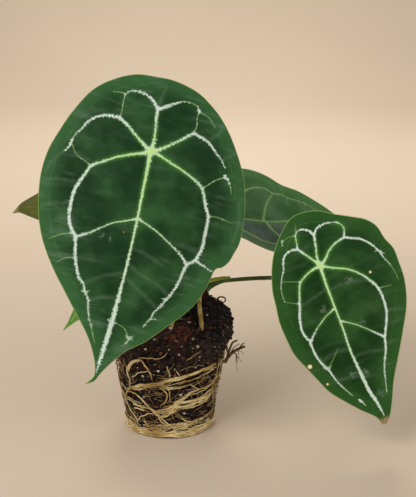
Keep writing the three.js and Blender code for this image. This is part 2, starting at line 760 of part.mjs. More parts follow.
function onCone([degrees, z], radius) {
  const angle = THREE.MathUtils.degToRad(degrees);
  const reach = coneRadius(z) + ROOTS.clear + radius;
  return [reach * Math.cos(angle), reach * Math.sin(angle), z];
}

function rootNetGeometry() {
  const { step, ringSides, strandSides } = ROOTS;
  const fixed = (radius) => () => radius;
  const strands = RINGS.map(({ radius, route }) =>
    limb(
      denseRoute(route, true).map((place) => onCone(place, radius)),
      fixed(radius),
      { sides: ringSides, step, closed: true },
    ),
  );
  for (const turn of STRAND_TURNS)
    for (const { radius, route } of STRANDS) {
      const turned = route.map(([degrees, z]) => [degrees + turn, z]);
      const places = denseRoute(turned, false).map((place) => onCone(place, radius));
      strands.push(limb(places, fixed(radius), { sides: strandSides, step }));
    }
  for (const { radius, route } of TUFT)
    strands.push(limb(route, thinning(radius, 0.5), { sides: ringSides, step: 4 }));
  return joined(strands);
}

// A route over the cone with a place every 15 degrees or less, so that it stays on the skin.
function denseRoute(route, closed) {
  const places = [];
  const spans = closed ? route.length : route.length - 1;
  for (let i = 0; i < spans; i++) {
    const [degrees1, z1] = route[i];
    const [next, z2] = route[(i + 1) % route.length];
    const degrees2 = next < degrees1 && closed ? next + 360 : next;
    const pieces = Math.max(1, Math.ceil(Math.abs(degrees2 - degrees1) / 15));
    for (let j = 0; j < pieces; j++) {
      const part = j / pieces;
      places.push([degrees1 + (degrees2 - degrees1) * part, z1 + (z2 - z1) * part]);
    }
  }
  if (!closed) places.push(route.at(-1));
  return places;
}

const plant = new THREE.Group();
const grownStem = stemLimb(GAP);
const curlCut = rootLimb(CURLED_ROOT, GAP);
const grownPetioles = LEAVES.map((leaf) => petioleLimb(leaf, GAP));
const aerialCuts = AERIAL_ROOTS.map((root) => rootLimb(root, GAP));
plant.add(namedMesh("potting_mix", mixGeometry([grownStem, curlCut, ...aerialCuts]), "mix"));
plant.add(namedMesh("root_net", rootNetGeometry(), "root"));
plant.add(namedMesh("stem", stemLimb(0), "stem"));
AERIAL_ROOTS.forEach((root, i) =>
  plant.add(namedMesh(`aerial_root_${i + 1}`, cutBy(rootLimb(root, 0), [grownStem]), "aerialRoot")),
);
plant.add(namedMesh("curled_root", rootLimb(CURLED_ROOT, 0), "stem"));

const bud = limb(BUD.route, thinning(BUD.radius, 0.7), { sides: 6, step: 5 });
plant.add(namedMesh("bud", cutBy(bud, [grownStem, ...grownPetioles]), "sheath"));
plant.add(namedMesh("sheath", cutBy(sheathGeometry(), [grownStem, ...grownPetioles]), "sheath"));

for (const leaf of LEAVES) {
  const { number } = leaf;
  const bladeColour = { 3: "rearBlade", 4: "youngBlade" }[number] ?? "blade";
  const bladeRoom = bladeGeometry(leaf, NET.lift + NET.thickness + GAP, GAP);
  const petiole = cutBy(petioleLimb(leaf, 0), [grownStem, bladeRoom]);
  plant.add(namedMesh(`petiole_${number}`, petiole, "petiole"));
  plant.add(namedMesh(`blade_${number}`, bladeGeometry(leaf), bladeColour));
  plant.add(namedMesh(`veins_${number}`, netGeometry(leaf), number < 3 ? "silver" : "paleVein"));
}

export default plant;
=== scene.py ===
# %% [markdown]
# # A velvet-leaved aroid on its bare root ball
#
# The plant is an anthurium forgetii that was lifted out of its nursery pot. It has three big leaves, two
# small ones, a short stem and a ball of dark mix that keeps the shape of the pot, with pale roots that
# circled inside it. The CAD solids give every piece its place and its main form. This lesson gives each
# piece its fine form and its finish, and the finer piece then stands in for the solid.

import math

import bmesh
import bpy
import numpy as np
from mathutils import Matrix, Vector, noise
from mathutils.geometry import delaunay_2d_cdt


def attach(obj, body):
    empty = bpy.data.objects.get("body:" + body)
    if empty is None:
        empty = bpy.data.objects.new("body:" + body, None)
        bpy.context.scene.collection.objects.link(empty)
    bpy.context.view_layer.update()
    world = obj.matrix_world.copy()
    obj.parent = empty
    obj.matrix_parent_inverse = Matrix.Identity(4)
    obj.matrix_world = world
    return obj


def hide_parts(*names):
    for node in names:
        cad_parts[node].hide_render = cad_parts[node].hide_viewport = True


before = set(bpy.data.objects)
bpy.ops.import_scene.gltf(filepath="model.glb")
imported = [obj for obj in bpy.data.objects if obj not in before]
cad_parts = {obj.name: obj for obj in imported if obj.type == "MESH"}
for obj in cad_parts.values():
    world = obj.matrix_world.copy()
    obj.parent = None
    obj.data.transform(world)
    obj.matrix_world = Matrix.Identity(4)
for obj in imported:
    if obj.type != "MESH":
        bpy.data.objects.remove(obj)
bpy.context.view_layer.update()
MM = 0.001
print("solids in the frame:", len(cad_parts))

# %% [markdown]
# ## Camera
#
# The view is a little from above. A long lens keeps the leaves free of strong perspective, as a portrait
# lens would. The camera stands 0.9 m from the foot of the ball and looks down by 17 degrees.

# %% Camera
CAMERA = {"place": (0.0276, -0.8261, 0.3830), "tilt": 73, "lens": 89.82, "sensor": 36}
camera = bpy.data.objects.new("camera", bpy.data.cameras.new("camera"))
camera.location = CAMERA["place"]
camera.rotation_euler = (math.radians(CAMERA["tilt"]), 0, 0)
camera.data.lens = CAMERA["lens"]
camera.data.sensor_width = CAMERA["sensor"]
bpy.context.scene.collection.objects.link(camera)
bpy.context.scene.camera = camera
print("camera lens:", camera.data.lens, "mm")

# %% [markdown]
# ## Curves and meshes that every piece needs
#
# Leaf outlines, veins, stalks and roots are all smooth lines through a few listed places. One helper turns
# such a list into a fine line. It is the centripetal curve that the solids were drawn with, so the finer
# pieces lie on them. A second helper measures along a line, and a third makes an object from points in
# millimetres.


# %% Smooth lines and plain meshes
def smooth_line(places, step, closed=False, axes=2):
    """Points of a smooth curve through the places. Columns after the axes, such as widths, come along."""
    rows = np.array(places, float)
    if closed:
        padded = np.vstack([rows[-1:], rows, rows[:2]])
    else:
        padded = np.vstack([2 * rows[:1] - rows[1:2], rows, 2 * rows[-1:] - rows[-2:-1]])
    line = []
    for before, start, end, after in zip(padded, padded[1:], padded[2:], padded[3:]):
        pairs = ((before, start), (start, end), (end, after))
        spans = [np.linalg.norm((b - a)[:axes]) ** 0.5 for a, b in pairs]
        first, middle, last = (max(span, 1e-4) for span in spans)
        leave = ((start - before) / first - (end - before) / (first + middle)) * middle + (end - start)
        arrive = (end - start) - ((after - start) / (middle + last) - (after - end) / last) * middle
        pieces = max(1, math.ceil(np.linalg.norm((end - start)[:axes]) / step))
        t = (np.arange(pieces) / pieces)[:, None]
        line.append(
            start
            + leave * t
            + (3 * (end - start) - 2 * leave - arrive) * t**2
            + (2 * (start - end) + leave + arrive) * t**3
        )
    if not closed:
        line.append(rows[-1:])
    return np.vstack(line)


def measured(line):
    """The way from the line's start to each of its points."""
    return np.concatenate([[0], np.cumsum(np.linalg.norm(np.diff(line, axis=0), axis=1))])


def mesh_object(name, points, faces, edges=()):
    mesh = bpy.data.meshes.new(name)
    mesh.from_pydata((np.asarray(points) * MM).tolist(), list(edges), list(faces))
    piece = bpy.data.objects.new(name, mesh)
    bpy.context.scene.collection.objects.link(piece)
    return piece


def give_attribute(piece, name, values):
    """Keeps a number for every point of the mesh, for materials and node trees to read."""
    attribute = piece.data.attributes.new(name, "FLOAT", "POINT")
    attribute.data.foreach_set("value", np.asarray(values, np.float32))


def fit_piece(piece, slot, *nodes):
    """The piece rides with the plant and stands in for CAD nodes. Its slot is not used."""
    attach(piece, "root")
    for node in nodes:
        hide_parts(node)
    triangles = sum(len(face.vertices) - 2 for face in piece.data.polygons)
    print(f"{piece.name}: {triangles} triangles")


# %% [markdown]
# ## Building node trees in a script
#
# Shader and geometry trees are made of the same parts: a node, the values of its sockets and its links. The
# small class below adds a node and either sets each named input or links it, so that a tree reads from top
# to bottom. Groups made with it get named inputs and outputs.


# %% A short way to write node trees
class Tree:
    """Adds nodes to a tree. An input that is given as a socket is linked, and any other value is set."""

    def __init__(self, tree):
        self.tree = tree

    def feed(self, socket, value):
        if isinstance(value, bpy.types.NodeSocket):
            self.tree.links.new(value, socket)
        else:
            socket.default_value = value

    def add(self, kind, inputs=None, **settings):
        node = self.tree.nodes.new(kind)
        for setting, value in settings.items():
            setattr(node, setting, value)
        for key, value in (inputs or {}).items():
            self.feed(node.inputs[key], value)
        return node

    def math(self, operation, *values):
        node = self.add("ShaderNodeMath", dict(enumerate(values)), operation=operation)
        return node.outputs[0]

    def scale(self, vector, factor):
        """The vector times a number, or times one number for each axis."""
        if isinstance(factor, (int, float)):
            factor = (factor, factor, factor)
        node = self.add("ShaderNodeVectorMath", {0: vector, 1: factor}, operation="MULTIPLY")
        return node.outputs[0]

    def fit(self, value, low, high, to_low=0.0, to_high=1.0):
        """A smooth step from one range of values to another."""
        inputs = {"Value": value, "From Min": low, "From Max": high, "To Min": to_low, "To Max": to_high}
        return self.add("ShaderNodeMapRange", inputs, interpolation_type="SMOOTHSTEP").outputs[0]

    def mix(self, factor, first, second):
        """The first colour, turning into the second as the factor goes from 0 to 1."""
        inputs = {0: factor, 6: first, 7: second}
        return self.add("ShaderNodeMix", inputs, data_type="RGBA").outputs[2]

    def noise(self, vector, scale, detail=3.0, roughness=0.55):
        inputs = {"Vector": vector, "Scale": scale, "Detail": detail, "Roughness": roughness}
        return self.add("ShaderNodeTexNoise", inputs).outputs[0]

    def attribute(self, name):
        return self.add("ShaderNodeAttribute", attribute_name=name).outputs["Fac"]

    def group(self, group, inputs):
        return self.add("ShaderNodeGroup", inputs, node_tree=group).outputs[0]


def start_group(name, kind, sockets, output):
    """A node group with these inputs and one output. Gives the tree, its inputs and its end."""
    group = bpy.data.node_groups.new(name, kind)
    group.interface.new_socket(output[0], in_out="OUTPUT", socket_type=output[1])
    for socket_name, socket_type, value in sockets:
        socket = group.interface.new_socket(socket_name, in_out="INPUT", socket_type=socket_type)
        if value is not None:
            socket.default_value = value
    tree = Tree(group)
    entry = group.nodes.new("NodeGroupInput")
    end = group.nodes.new("NodeGroupOutput")
    return tree, entry.outputs, end.inputs[0]


FLOAT, INT, VECTOR = "NodeSocketFloat", "NodeSocketInt", "NodeSocketVector"
COLOUR, GEOMETRY, MATERIAL = "NodeSocketColor", "NodeSocketGeometry", "NodeSocketMaterial"


def colour(red, green, blue):
    """A colour in steps of 0 to 255, as the linear values that a shader works in."""
    parts = [value / 255 for value in (red, green, blue)]
    linear = [part / 12.92 if part < 0.04 else ((part + 0.055) / 1.055) ** 2.4 for part in parts]
    return (*linear, 1.0)


def new_material(name):
    """A material with its Principled shader, as a tree and the shader node."""
    material = bpy.data.materials.new(name)
    material.use_nodes = True
    return material, Tree(material.node_tree), material.node_tree.nodes["Principled BSDF"]


def finish_material(tree, shader, base, roughness, height, depth):
    """Links colour, roughness and a bump of the given depth in metres."""
    bump = tree.add("ShaderNodeBump", {"Height": height, "Distance": depth, "Strength": 1.0})
    links = {"Base Color": base, "Roughness": roughness, "Normal": bump.outputs[0]}
    for key, value in links.items():
        tree.feed(shader.inputs[key], value)


print("helpers ready")

# %% [markdown]
# ## Effects that several finishes share
#
# Three small groups do the work that comes back in many materials. The ragged band turns a distance into a
# mask with a frayed edge, which is how the silver of the veins ends. The mottle mixes two colours by a soft
# noise. The grain is a height for a bump, from coarse and fine noise together.

# %% Shared shader groups
tree, given, end = start_group(
    "ragged band",
    "ShaderNodeTree",
    [("Band", FLOAT, 0.0), ("Place", VECTOR, None), ("Fray", FLOAT, 0.5), ("Size", FLOAT, 1.0),
     ("Softness", FLOAT, 0.2)],
    ("Mask", FLOAT),
)
fray = tree.noise(given["Place"], given["Size"], detail=2.5, roughness=0.7)
shift = tree.math("MULTIPLY", tree.math("SUBTRACT", fray, 0.5), given["Fray"])
edge = tree.math("ADD", given["Band"], shift)
outside = tree.math("MULTIPLY", given["Softness"], -1.0)
tree.tree.links.new(tree.fit(edge, outside, given["Softness"]), end)
RAGGED_BAND = tree.tree

tree, given, end = start_group(
    "mottle",
    "ShaderNodeTree",
    [("Place", VECTOR, None), ("Scale", FLOAT, 1.0), ("First", COLOUR, None), ("Second", COLOUR, None),
     ("Low", FLOAT, 0.35), ("High", FLOAT, 0.65)],
    ("Colour", COLOUR),
)
patches = tree.noise(given["Place"], given["Scale"])
share = tree.fit(patches, given["Low"], given["High"])
tree.tree.links.new(tree.mix(share, given["First"], given["Second"]), end)
MOTTLE = tree.tree

tree, given, end = start_group(
    "grain",
    "ShaderNodeTree",
    [("Place", VECTOR, None), ("Coarse", FLOAT, 400.0), ("Fine", FLOAT, 2000.0), ("Fine share", FLOAT, 0.4)],
    ("Height", FLOAT),
)
coarse = tree.noise(given["Place"], given["Coarse"])
fine = tree.math("MULTIPLY", tree.noise(given["Place"], given["Fine"]), given["Fine share"])
tree.tree.links.new(tree.math("ADD", coarse, fine), end)
GRAIN = tree.tree
print("shared groups:", RAGGED_BAND.name, MOTTLE.name, GRAIN.name)

# %% [markdown]
# ## Leaves: the bent sheet
#
# A leaf blade is flat when it is drawn and bent when it grows. Each blade is therefore drawn in two flat
# coordinates: s runs from the star, where the veins meet, to the tip, and w across. The sheet then droops
# along s and cups along w. Between the veins the blade swells like a quilt, and each vein shows as a valley
# above and a rib below. A grid or a sculpt would lose the drawn outline, so the flat drawing is filled with
# triangles that have edges on every vein, and only then bent.

# %% The bend of a leaf
def unit(vector):
    return np.asarray(vector, float) / np.linalg.norm(vector)


def bent_sheet(leaf, s, w):
    """Places in millimetres of flat points on the bent sheet, as the solids have them."""
    along = unit(leaf["towards_tip"])
    facing = np.array(leaf["faces"], float)
    facing = unit(facing - along * (facing @ along))
    across = np.cross(along, facing)
    forward = math.radians(leaf["droop"]) / leaf["tip"]
    backward = math.radians(leaf["rear"]) / leaf["back"]
    bend = np.where(s > 0, forward, backward)
    lean = bend * s
    curl = math.radians(leaf["cup"]) / leaf["half_width"]
    start = math.radians(leaf["fold"])
    end = start + curl * np.abs(w)
    side = np.sign(w) * (np.sin(end) - math.sin(start)) / curl
    rise = (math.cos(start) - np.cos(end)) / curl
    ahead = np.sin(lean) / bend + rise * np.sin(lean)
    up = rise * np.cos(lean) - (1 - np.cos(lean)) / bend
    return np.array(leaf["star"]) + ahead[:, None] * along + up[:, None] * facing + side[:, None] * across


def sheet_normals(leaf, s, w, reach=0.5):
    ahead = bent_sheet(leaf, s + reach, w) - bent_sheet(leaf, s - reach, w)
    aside = bent_sheet(leaf, s, w + reach) - bent_sheet(leaf, s, w - reach)
    normals = np.cross(aside, ahead)
    return normals / np.linalg.norm(normals, axis=1)[:, None]


def line_distance(flat, line):
    """Distance of flat points to a line, the line's further columns there, and the side they lie on."""
    best = np.full(len(flat), 1e9)
    kept = np.zeros((len(flat), line.shape[1] - 2))
    side = np.zeros(len(flat))
    for a, b in zip(line[:-1], line[1:]):
        span = (b - a)[:2]
        reach = flat - a[:2]
        share = np.clip((reach @ span) / max(span @ span, 1e-9), 0, 1)
        gap = np.linalg.norm(reach - share[:, None] * span, axis=1)
        closer = gap < best
        best[closer] = gap[closer]
        kept[closer] = (a[2:] + share[:, None] * (b - a)[2:])[closer]
        side[closer] = np.sign(span[0] * reach[:, 1] - span[1] * reach[:, 0])[closer]
    return best, kept, side


def inside_outline(flat, outline):
    inside = np.zeros(len(flat), bool)
    for (s1, w1), (s2, w2) in zip(outline, np.roll(outline, -1, axis=0)):
        if w1 != w2:
            crossing = s1 + (flat[:, 1] - w1) / (w2 - w1) * (s2 - s1)
            inside ^= ((w1 > flat[:, 1]) != (w2 > flat[:, 1])) & (flat[:, 0] < crossing)
    return inside


print("leaf sheet ready")

# %% [markdown]
# ## Leaves: vein widths
#
# A vein isn't one even line. The midrib starts yellow-green at the star, thins, and broadens into frayed
# silver towards the tip. The arched side veins turn from green to broad silver, and the small ones are
# green threads with silver ends. Each kind is listed once as shares of the vein's length with three
# half widths in millimetres: the silver band, the yellow-green core in it, and a plain green thread. A silver
# width below zero leaves only crumbs of the band, where its frayed edge still reaches.

# %% Vein profiles
VEIN_PROFILES = {
    "midrib": [(0, 1.6, 1.0, 0), (0.06, 0.8, 0.7, 0), (0.25, 0.45, 0.6, 0), (0.42, 0.5, 0.55, 0),
               (0.58, 0.8, 0.4, 0), (0.72, 1.3, 0.1, 0), (0.85, 1.35, 0, 0), (0.95, 0.9, 0, 0),
               (1, 0.1, 0, 0)],
    "arch": [(0, 1.5, 0.7, 0), (0.06, 0.45, 0.5, 0), (0.16, 0.35, 0.45, 0), (0.26, 0.6, 0.25, 0),
             (0.36, 0.95, 0, 0), (0.7, 0.85, 0, 0), (0.9, 0.4, 0, 0.3), (1, 0, 0, 0.35)],
    "rung": [(0, 0.7, 0.4, 0), (0.15, 0.05, 0.3, 0), (0.6, 0.15, 0.2, 0), (0.85, 0.6, 0, 0), (1, 1.0, 0, 0)],
    "crown": [(0, 1.9, 0.8, 0), (0.15, 1.0, 0.5, 0), (0.4, 0.45, 0.4, 0), (0.6, 0.5, 0.15, 0),
              (1, 0.9, 0, 0)],
    "fading arch": [(0, 1.1, 0, 0), (0.3, 0.8, 0, 0), (0.45, 0.4, 0, 0.3), (0.55, -0.3, 0, 0.45),
                    (0.85, -0.3, 0, 0.45), (0.95, 0.3, 0, 0.4), (1, 0.9, 0, 0.4)],
    "whisker": [(0, 0, 0, 0.35), (0.3, 0.15, 0, 0.3), (0.6, 0.25, 0, 0.2), (1, -0.2, 0, 0.15)],
    "crown arch": [(0, 0.9, 0, 0), (0.3, 0.75, 0, 0), (0.7, 0.5, 0, 0), (1, 0, 0, 0.3)],
    "thinning arch": [(0, 0.9, 0, 0), (0.35, 0.65, 0, 0), (0.6, 0.2, 0, 0.3), (1, -0.2, 0, 0.3)],
    "green": [(0, 0.5, 0, 0.4), (0.15, -0.4, 0, 0.45), (0.85, -0.4, 0, 0.4), (1, 0.4, 0, 0.4)],
    "spur": [(0, 0.5, 0, 0.4), (0.15, -0.4, 0, 0.4), (0.7, -0.6, 0, 0.35), (1, -0.6, 0, 0.1)],
    "silver spur": [(0, 0.9, 0, 0.2), (0.5, 0.5, 0, 0.3), (1, 0, 0, 0.2)],
    "pale": [(0, 0.3, 0.7, 0), (0.3, 0.15, 0.4, 0), (0.8, 0, 0.2, 0), (1, -0.3, 0, 0.3)],
}


def vein_line(kind, route, scale, step=0.9):
    """The fine line of a vein as rows of s, w, the three half widths and the way run from its start."""
    line = smooth_line(route, step)
    run = measured(line)
    shares, *widths = np.array(VEIN_PROFILES[kind]).T
    halves = [np.interp(run / run[-1], shares, width) * scale for width in widths]
    return np.column_stack([line, *halves, run])


print("vein profiles:", ", ".join(VEIN_PROFILES))

# %% [markdown]
# ## Leaves: outlines and veins of the five blades
#
# The outlines are those of the solids. The vein routes follow the real blades, with their small branches:
# crown ribs that fork over the star, rungs between midrib and arch, and short spurs towards the margin.

# %% The front leaf
FRONT_LEAF = {
    "name": "leaf_1", "star": (-9.5, -40, 208.4), "towards_tip": (-0.232, -0.365, -0.902),
    "faces": (0.1, -0.931, 0.351), "tip": 155, "back": 50, "half_width": 66, "droop": 8, "rear": 18,
    "fold": -4, "cup": -14, "vein_scale": 1.0,
    "outline": [
        (-51, 8), (-50, 21), (-44, 34), (-34, 46), (-16, 56), (0, 62), (14, 66), (29, 67), (44, 65), (56, 62),
        (72, 55), (88, 44), (103, 31), (126, 11), (134, 6), (143, 2), (150, 1), (156, 5), (153, 0), (147, -3),
        (139, -8), (130, -15), (121, -26), (108, -38), (99, -46), (89, -53), (76, -58), (64, -61), (62, -65),
        (57, -69), (51, -71), (44, -73), (32, -73), (19, -71), (5, -67), (-6, -62), (-16, -56), (-26, -49),
        (-36, -40), (-43, -31), (-48, -22), (-51, -8),
    ],
    "veins": [
        ("midrib", [(0, 0), (10, -0.5), (22, -1), (44, -2), (67.5, -2.5), (88, -2.5), (111, -2), (132, -1),
                    (147, 0)]),
        ("arch", [(0, 0), (2.5, 5), (5.5, 13.5), (9.5, 22), (13.5, 28.5), (18, 35.5), (23, 37.5), (30, 40.5),
                  (37.5, 42.5), (45, 42.5), (53, 41.5), (59, 39.5), (65, 34.5), (72.5, 32.5), (78.5, 31),
                  (84.5, 28.5), (90.5, 25.5), (93.5, 22), (98.5, 19.5), (102.5, 16.5), (108.5, 15), (114, 13),
                  (119.5, 10)]),
        ("spur", [(118.5, 10.5), (124, 8), (129.5, 5)]),
        ("arch", [(0, 0), (1, -6), (4, -14.5), (6.5, -22.5), (9.5, -30), (12.5, -36), (15, -39), (21, -42),
                  (27, -45), (31, -47), (36.5, -48), (44, -48), (51, -48.5), (58, -47), (61.5, -45.5),
                  (66, -41), (75, -39), (83, -37), (89, -34), (95, -31), (101.5, -27), (106, -25.5),
                  (111.5, -22.5)]),
        ("rung", [(44, -2), (47, 3.5), (50.5, 12), (56, 20), (60.5, 26), (65.5, 34.5)]),
        ("rung", [(44.5, -3), (46.5, -8.5), (49.5, -16), (53.5, -23.5), (57.5, -30.5), (61.5, -36.5),
                  (66, -41)]),
        ("crown", [(0, 0), (-3.5, 5.5), (-8.5, 12.5), (-13, 18), (-17.5, 25)]),
        ("crown arch", [(-17.5, 25), (-17.5, 29), (-17, 34), (-15, 39.5), (-11, 44), (-5, 47.5), (0.5, 51),
                        (2.5, 51.6)]),
        ("silver spur", [(4, 52), (8, 52.5), (11, 54), (12.5, 55.5)]),
        ("crown", [(0, 0), (-6.5, -0.5), (-12.5, 0), (-19, 1), (-28.5, 2)]),
        ("crown arch", [(-28.5, 2), (-33, 5.5), (-36, 9.5), (-37.5, 13.5), (-38, 17.5), (-37.5, 21.5),
                        (-34.5, 25)]),
        ("fading arch", [(-28.5, 2), (-31, -2), (-33.5, -5.5), (-36.5, -9.5), (-39, -14), (-39.5, -18.5),
                        (-38.5, -23), (-35.5, -25)]),
        ("crown", [(0, 0), (-2.5, -5), (-7.5, -11.5), (-13, -18), (-17, -22), (-19.5, -24.5)]),
        ("crown arch", [(-19.5, -24.5), (-18.5, -29), (-17, -34.5), (-14, -39), (-10.5, -43), (-7.5, -47),
                        (-2.5, -51)]),
        ("green", [(-17.5, 24.5), (-23.5, 24.5), (-29.5, 25), (-34.5, 25)]),
        ("spur", [(-34.5, 25), (-35, 28), (-34.5, 33.5)]),
        ("green", [(-19.5, -24.5), (-25, -25.5), (-30, -24.5), (-35, -25)]),
        ("spur", [(-35, -25), (-34.5, -28.5), (-33, -32.5), (-27, -38)]),
        ("green", [(14.5, -39), (11, -42.5), (7, -46.5), (3.5, -52)]),
        ("silver spur", [(3.5, -52), (4.5, -54.5), (6.5, -56)]),
        ("spur", [(6.5, -56), (10, -58), (14, -59)]),
        ("spur", [(31.5, -47.5), (30.5, -52.5), (31, -58.5), (32, -65)]),
        ("spur", [(18, 35.5), (16, 39.5), (12.5, 47), (6, 51.5)]),
        ("spur", [(63.5, 37), (65.5, 43), (68.5, 48), (71, 51.5)]),
        ("silver spur", [(61.5, -45.5), (63.5, -51), (65, -55.5), (66, -58)]),
        ("spur", [(78.5, 31), (80, 37), (84, 42)]),
        ("spur", [(120.5, -14.5), (115.5, -11), (113, -4)]),
        ("whisker", [(119, -17.5), (121, -15.5), (123.5, -14.5), (127, -12.5)]),
        ("whisker", [(120, -13), (121, -15), (121.5, -17.5)]),
        ("whisker", [(105, -29.5), (106, -25.5), (108.5, -24.5)]),
        ("whisker", [(88, -36), (90.5, -33), (91, -29.5)]),
        ("whisker", [(113, -5), (114, -1.5), (112, 1)]), ("whisker", [(98, 22), (98.5, 19.5), (97, 17)]),
    ],
    "threads": [
        [(92.5, 21.5), (87.5, 13.5), (84, 7), (81.5, 0.5)], [(102.5, 15.5), (99, 7.5), (97.5, 0)],
        [(75, -5), (80, -15), (84, -27), (88, -33)], [(64, -5), (66, -14), (70, -24)],
        [(84, -5), (88, -12), (93, -20), (97, -27)], [(-44, 0), (-38, 1), (-29, 2)],
        [(-18, -36), (-26, -42), (-33, -42)], [(-8, -48), (-14, -55)], [(44, 43), (47, 52), (50, 61)],
        [(30, 41), (31, 52), (33, 64)], [(10, 53), (18, 60), (28, 64)], [(18, -66), (30, -69), (44, -68)],
    ],
    "bruises": [(55, 4.5, 0.7)], "smudges": [(60, 18, 3), (61, 12, 2.5)],
}
print(FRONT_LEAF["name"], "has", len(FRONT_LEAF["veins"]), "veins")

# %% The right and the rear leaf
RIGHT_LEAF = {
    "name": "leaf_2", "star": (102.7, -35, 128.9), "towards_tip": (0.388, -0.242, -0.89),
    "faces": (-0.014, -0.966, 0.256), "tip": 115, "back": 42, "half_width": 46, "droop": 10, "rear": 15,
    "fold": 0, "cup": -14, "vein_scale": 0.8,
    "outline": [
        (-38, -1), (-37, 6), (-31, 15), (-24, 22), (-14, 29), (3, 36), (14, 38), (26, 40), (38, 40), (50, 39),
        (61, 35), (72, 31), (82, 27), (92, 20), (102, 12), (111, 4), (118, 1), (115, -4), (105, -10),
        (91, -17), (77, -26), (63, -35), (50, -43), (41, -47), (30, -50), (19, -51), (8, -51), (0, -48),
        (-10, -46), (-17, -41), (-23, -32), (-29, -22), (-35, -13),
    ],
    "veins": [
        ("midrib", [(0, 0), (12.5, 1), (26.5, 1.5), (46, 2), (60, 3), (74.5, 2.5), (92, 1.5), (102, -0.5),
                    (112, -1.5)]),
        ("arch", [(0, 0), (4.5, -7.5), (9, -16), (15.5, -23), (21.5, -27), (29, -30.5), (36.5, -31),
                  (45, -30), (52.5, -27), (62, -22), (69.5, -19.5), (80.5, -14), (90.5, -11), (97.5, -9)]),
        ("arch", [(0, 0), (0.5, 6), (2.5, 11.5), (6, 17), (13.5, 20.5), (20, 23), (29, 26.5), (37, 28),
                  (45.5, 26), (53, 26), (61, 24.5), (68, 21.5), (76.5, 19.5), (84, 16.5), (91, 13)]),
        ("silver spur", [(95, 10), (98, 8.5), (100.5, 7.5)]),
        ("rung", [(40, 1), (44, -5), (50, -11.5), (55.5, -16.5), (61.5, -22)]),
        ("rung", [(30.5, 3), (33, 9.5), (37, 16), (41, 21), (45, 25)]),
        ("crown", [(0, 0), (-7, -0.5), (-13.5, -2.5), (-20, -4)]),
        ("crown arch", [(-20, -4), (-23.5, -3), (-26, -0.5), (-27.5, 2.5), (-27, 5.5), (-25, 7.5)]),
        ("rung", [(-25, 7.5), (-20.5, 8.5), (-16.5, 9.5)]),
        ("crown arch", [(-20, -4), (-24, -7.5), (-25, -12.5), (-24.5, -17.5), (-23, -21.5)]),
        ("rung", [(-23, -21.5), (-20, -24), (-17, -24.5), (-12, -22.5)]),
        ("crown", [(0, 0), (-5, 2.5), (-10.5, 6), (-16, 9.5)]),
        ("thinning arch", [(-16, 9.5), (-17, 14.5), (-15.5, 19), (-11.5, 22), (-7, 23.5), (-2, 27),
                           (5.5, 30.5), (13.5, 31.5)]),
        ("crown", [(0, 0), (-2.5, -4.5), (-7.5, -10), (-10.5, -16.5), (-11.5, -22.5)]),
        ("crown arch", [(-11.5, -22.5), (-9, -27), (-6, -32.5), (0, -37.5), (5.5, -40.5), (12.5, -42.5),
                        (17.5, -44.5)]),
        ("spur", [(-25, 7.5), (-26, 12.5), (-24, 17.5)]),
        ("whisker", [(-26, 16.5), (-24.5, 17.5), (-22, 18)]),
        ("spur", [(-25, 7.5), (-28, 6), (-32, 4.5)]), ("spur", [(4.5, 17), (2.5, 22), (0.5, 27)]),
        ("spur", [(18, 23.5), (16, 27), (13.5, 31.5)]), ("spur", [(67, 22), (62.5, 16.5), (56, 10)]),
        ("spur", [(17.5, -44.5), (23, -45.5), (30, -45.5)]),
        ("spur", [(29, -30.5), (30, -35), (31, -40)]), ("whisker", [(65, 24.5), (67.5, 21.5), (66, 19)]),
        ("whisker", [(5.5, -38), (6, -41), (9, -43.5)]),
    ],
    "threads": [
        [(60, 3), (58, 12), (61, 24)], [(66, 3), (66, -8), (70, -19)], [(18, 2), (17, -10), (21, -26)],
        [(16, 2), (18, 12), (20, 22)], [(80, 2), (78, 10), (77, 19)], [(45, -30), (47, -37), (50, -42)],
    ],
    "spots": [(17, -29.6, 1.0), (61, 32.4, 1.6), (76.7, 25.9, 0.9)], "dry_from": 112.5,
    "smudges": [(77, 7, 4), (79.5, 0, 5), (96.5, -5, 4), (28, 9, 4), (45.5, -11.5, 3.5), (16.5, -14, 4)],
}
